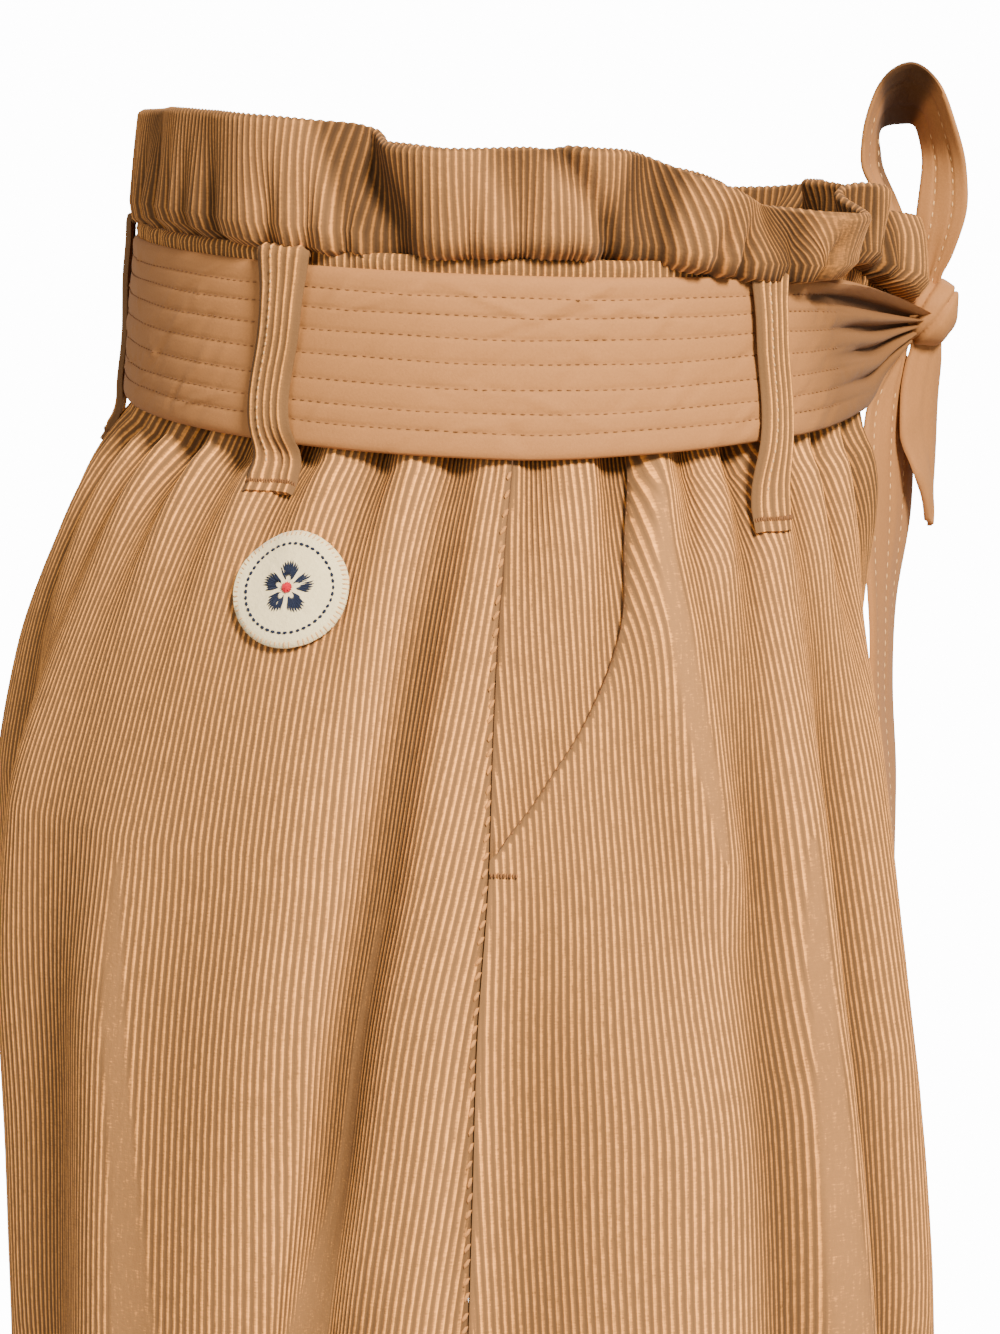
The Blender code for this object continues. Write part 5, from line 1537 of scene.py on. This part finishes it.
def ribbon(name, stations, crease, lines, curl, seed, node, looped=False):
    """A ribbon of sash cloth through its stations, and the rows of stitches along its lines."""
    middles, across = ribbon_rows(stations, looped)
    facing = unit(np.cross(across, np.gradient(middles, axis=0)))
    shares = RIBBON_SHARES
    height = crumpled(crease, len(middles), seed) + curl * (1.0 - shares**2)[None, :]
    groove = sum(-0.35 * bump(shares - line, 0.05) for line in lines)
    half = (RIBBON_CLOTH / 2.0 + groove) * (1.0 - 0.5 * smooth((np.abs(shares) - 0.9) / 0.1))
    spine = middles[:, None, :] + across[:, None, :] * shares[None, :, None]
    outer = spine + facing[:, None, :] * (height + half)[:, :, None]
    inner = spine + facing[:, None, :] * (height - half)[:, :, None]
    # Painted shade on the loop: where it faces down, and along the inner half of one strand.
    under = 0.0
    step = np.arange(len(middles))[:, None]
    if looped:
        shaded = smooth(-shares / 0.3)[None, :] * smooth((step - 66.0) / 8.0) * smooth((104.0 - step) / 10.0)
        under = np.maximum(smooth((-facing[:, 2] - 0.3) / 0.4)[:, None], 0.85 * shaded)
    marks = np.stack(np.broadcast_arrays(shares * 8.0, step * 2.0, 1.0, under), axis=-1)
    piece = lay_cloth(name, outer, inner, marks, (sash_cloth, sash_back))
    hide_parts(node)
    return piece, sewn_along(outer, inner, facing, lines)


bow, bow_sewn = ribbon("bow_loop_cloth", BOW_LOOP, 0.5, (-0.35, 0.4), 0.0, 31, "bow_loop", looped=True)
short_tail = ribbon("short_tail_cloth", SHORT_TAIL, 0.35, (), 1.2, 32, "tail_short")[0]
long_tail, long_sewn = ribbon("long_tail_cloth", LONG_TAIL, 0.45, (-0.5, 0.1, 0.66), 0.8, 33, "tail_long")
sew("bow_stitches", bow_sewn + long_sewn, pale_thread, (1.9, 0.5, 0.0))

# %% Wrap the knot
lump = bmesh.new()
bmesh.ops.create_uvsphere(lump, u_segments=72, v_segments=44, radius=1.0)
for vert in lump.verts:
    x, y, z = vert.co
    angle = math.atan2(z, y)
    wrap = math.cos(3.0 * angle + 2.2 * x) * 0.035 + 0.03 * math.cos(7.0 * angle - 3.0 * x + 1.0)
    groove = -0.14 * math.exp(-((y + 0.75 * z + 0.25) / 0.09) ** 2)
    groove -= 0.12 * math.exp(-((y + 0.5 * z - 0.5) / 0.08) ** 2)
    swell = 1.08 + wrap * (1.0 - abs(x)) + groove
    for axis in range(3):
        value = vert.co[axis]
        eased = math.copysign(abs(value) ** 0.86, value) * swell
        vert.co[axis] = (KNOT_CENTRE[axis] + KNOT_HALF[axis] * eased) * MM
    vert.co.y -= (1.2 + 1.5 * z) * MM
bmesh.ops.recalc_face_normals(lump, faces=lump.faces)
knot = show("knot_wrap", mesh_of(lump, "knot_wrap"), (sash_cloth,))
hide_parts("knot")

# %% [markdown]
# ## Patch
# A round felt patch is sewn on the right hip with small stitches over its edge. It carries a plain
# flower of satin stitch and a ring of running stitches.

# %% Make the patch
PATCH_CENTRE, PATCH_RADIUS = (51.3, -57.0), 15.2
PATCH_FOOT, PATCH_THICK, PATCH_LIFT, PATCH_FOLLOWS = 0.45, 1.35, 0.55, 0.75
FROM_RIGHT, INWARD = -100.0, (1.0, 0.0, 0.0)
centre = land((FROM_RIGHT, *PATCH_CENTRE), INWARD)
starts = [land((FROM_RIGHT, PATCH_CENTRE[0] + dy, PATCH_CENTRE[1] + dz), INWARD)
          for dy in (-12.0, 12.0) for dz in (-12.0, 12.0)]
facing = unit(np.cross(starts[3] - starts[0], starts[2] - starts[1]))
facing = facing * -np.sign(facing[0])
side_way = unit(np.cross(facing, (0.0, 0.0, 1.0)))
up_way = np.cross(side_way, facing)


def on_patch(radius, angle, height):
    """A point of the patch, laid on the cloth below it."""
    flat = centre + radius * (math.cos(angle) * side_way + math.sin(angle) * up_way)
    depth = float(np.dot(land(flat, -facing) - centre, facing))
    return flat + facing * (PATCH_FOLLOWS * depth + height)


disc = bmesh.new()
bmesh.ops.create_circle(disc, cap_ends=False, segments=64, radius=1.0)
rim = disc.edges[:]
for radius in (0.9, 0.75, 0.6, 0.45, 0.3, 0.15):
    made = bmesh.ops.extrude_edge_only(disc, edges=rim)["geom"]
    rim = [item for item in made if isinstance(item, bmesh.types.BMEdge)]
    verts = [item for item in made if isinstance(item, bmesh.types.BMVert)]
    for vert in verts:
        vert.co = vert.co.normalized() * radius
bmesh.ops.contextual_create(disc, geom=rim)
bmesh.ops.recalc_face_normals(disc, faces=disc.faces)
under = bmesh.ops.solidify(disc, geom=disc.faces[:], thickness=0.01)["geom"]
under = {item for item in under if isinstance(item, bmesh.types.BMVert)}
for vert in disc.verts:
    radius = math.hypot(vert.co.x, vert.co.y)
    angle = math.atan2(vert.co.y, vert.co.x)
    thick = 0.0 if vert in under else PATCH_THICK * (1.0 - 0.45 * smooth((radius - 0.86) / 0.14))
    vert.co = on_patch(radius * PATCH_RADIUS, angle, PATCH_FOOT + thick + PATCH_LIFT) * MM
bmesh.ops.recalc_face_normals(disc, faces=disc.faces)
patch = show("hip_patch", mesh_of(disc, "hip_patch"), (felt,))
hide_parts("patch")

# %% Stitch the patch
EDGE_STITCHES, RING_STITCHES, PETALS = 72, 44, 5


def patch_stitch(start, end):
    """One stitch between two places of the patch, each a radius, an angle and a height."""
    return np.array([on_patch(*start), on_patch(*end)]), facing[None]


edge_sewn = []
ring_sewn = []
petals = []
heart = []
for angle in 2.0 * math.pi * np.arange(EDGE_STITCHES) / EDGE_STITCHES:
    edge_sewn.append(patch_stitch((13.7, angle, 2.3), (15.5, angle + 0.02, 1.5)))
for angle in 2.0 * math.pi * np.arange(RING_STITCHES) / RING_STITCHES:
    ring_sewn.append(patch_stitch((11.6, angle, 2.35), (11.6, angle + 0.09, 2.35)))
for petal in range(PETALS):
    middle = math.pi / 2.0 + 2.0 * math.pi * petal / PETALS
    for spread in np.linspace(-1.0, 1.0, 9):
        reach = 7.6 - 2.4 * spread * spread
        petals.append(patch_stitch((2.6, middle + 0.34 * spread, 2.4), (reach, middle + 0.42 * spread, 2.4)))
for angle in math.pi * np.arange(8) / 8:
    heart.append(patch_stitch((2.0, angle, 2.9), (-2.0, angle, 2.9)))
sew("patch_edge_stitches", edge_sewn, pale_thread, (2.2, 0.6, 0.1))
sew("patch_ring_stitches", ring_sewn, navy_thread, (1.5, 1.0, 0.1))
sew("patch_flower_petals", petals, navy_thread, (5.0, 0.8, 0.15))
sew("patch_flower_heart", heart, red_thread, (3.6, 0.9, 0.2))

# %% [markdown]
# ## Seams
# The side seams pucker: small irregular bumps of thread and cloth run down them. The pocket mouth ends
# in a bar, its edge is caught by a few dark stitches, and the hems are sewn a finger's width up.


# %% Seam stitches
def on_panel(name, row_at, share, height):
    """A point and normal on a panel's smooth surface, at a row number and a share of the row."""
    points, normals = surfaces[name][:2]
    mirror = SIDES["right" if name.endswith("right") else "left"]
    low = int(np.clip(math.floor(row_at), 0, len(ROWS) - 2))
    part = row_at - low
    weights = ((low, 1.0 - part), (low + 1, part))
    spot = sum(weight * between(share, SHARES, points[k])[0] for k, weight in weights)
    facing = unit(sum(weight * between(share, SHARES, normals[k])[0] for k, weight in weights))
    return (spot + facing * height) * mirror, facing * mirror


def panel_stitch(name, upper, start_share, lower, end_share, heights=(0.1, 0.1)):
    """One stitch on a panel between two levels, at a share of the row for each."""
    start = on_panel(name, row_of(upper), start_share, heights[0])[0]
    end, facing = on_panel(name, row_of(lower), end_share, heights[1])
    return np.array([start, end]), facing[None]


def at_mouth(level):
    """Distance of the pocket's edge stitches from the side seam."""
    return mouth_distance(level) + 0.5


PUCKER_LEVELS = np.arange(-26.0, -418.0, -4.1)
MOUTH_LEVELS = np.arange(-25.0, -112.0, -2.6)
HEM_LEVEL, HEM_STITCH_STEP = -400.0, 1.9
BAR_TOP, BAR_END, BAR_STITCHES = -121.0, -122.4, 9
SEAT_LENGTH, BAR_LENGTH = 250.0, 225.0
seam_rows = []
hem_rows = []
mouth_rows = []
bar_rows = []
for side, seed in (("right", 41), ("left", 42)):
    dice = np.random.default_rng(seed)
    for level in PUCKER_LEVELS:
        upper = level + dice.uniform(-0.6, 0.6)
        start_share = 1.0 - dice.uniform(-0.3, 0.2) / SEAT_LENGTH
        end_share = 1.0 - dice.uniform(0.9, 1.6) / SEAT_LENGTH
        ends = (upper, start_share, upper - 2.1, end_share)
        seam_rows.append(panel_stitch("back_" + side, *ends, heights=(0.1, 0.35)))
    for half in ("back", "front"):
        name = half + "_" + side
        shares = np.arange(0.004, 0.996, HEM_STITCH_STEP / surfaces[name][2][-1])
        spots = [on_panel(name, row_of(HEM_LEVEL), share, RIB_HEIGHT) for share in shares]
        hem_rows.append(tuple(np.array(lot) for lot in zip(*spots)))
    name = "front_" + side
    for level in MOUTH_LEVELS:
        length = np.interp(row_of(level), np.arange(len(ROWS)), surfaces[name][2])
        start_share, end_share = (1.0 - at_mouth(end) / length for end in (level, level - 1.2))
        mouth_rows.append(panel_stitch(name, level, start_share, level - 1.2, end_share))
    for k in range(BAR_STITCHES):
        share = 1.0 - (0.4 + 0.75 * k) / BAR_LENGTH
        bar_rows.append(panel_stitch(name, BAR_TOP, share, BAR_END, share, (0.75, 0.75)))
sew("side_seam_stitches", seam_rows, pucker_highlight, (3.4, 1.2, 0.1))
sew("hem_stitches", hem_rows, tan_thread_and_shade, (2.6, 0.5, 0.1))
sew("pocket_mouth_stitches", mouth_rows, tan_thread_and_shade, (1.3, 0.5, 0.1))
sew("pocket_bars", bar_rows, tan_thread_and_shade, (1.7, 0.7, 0.1))
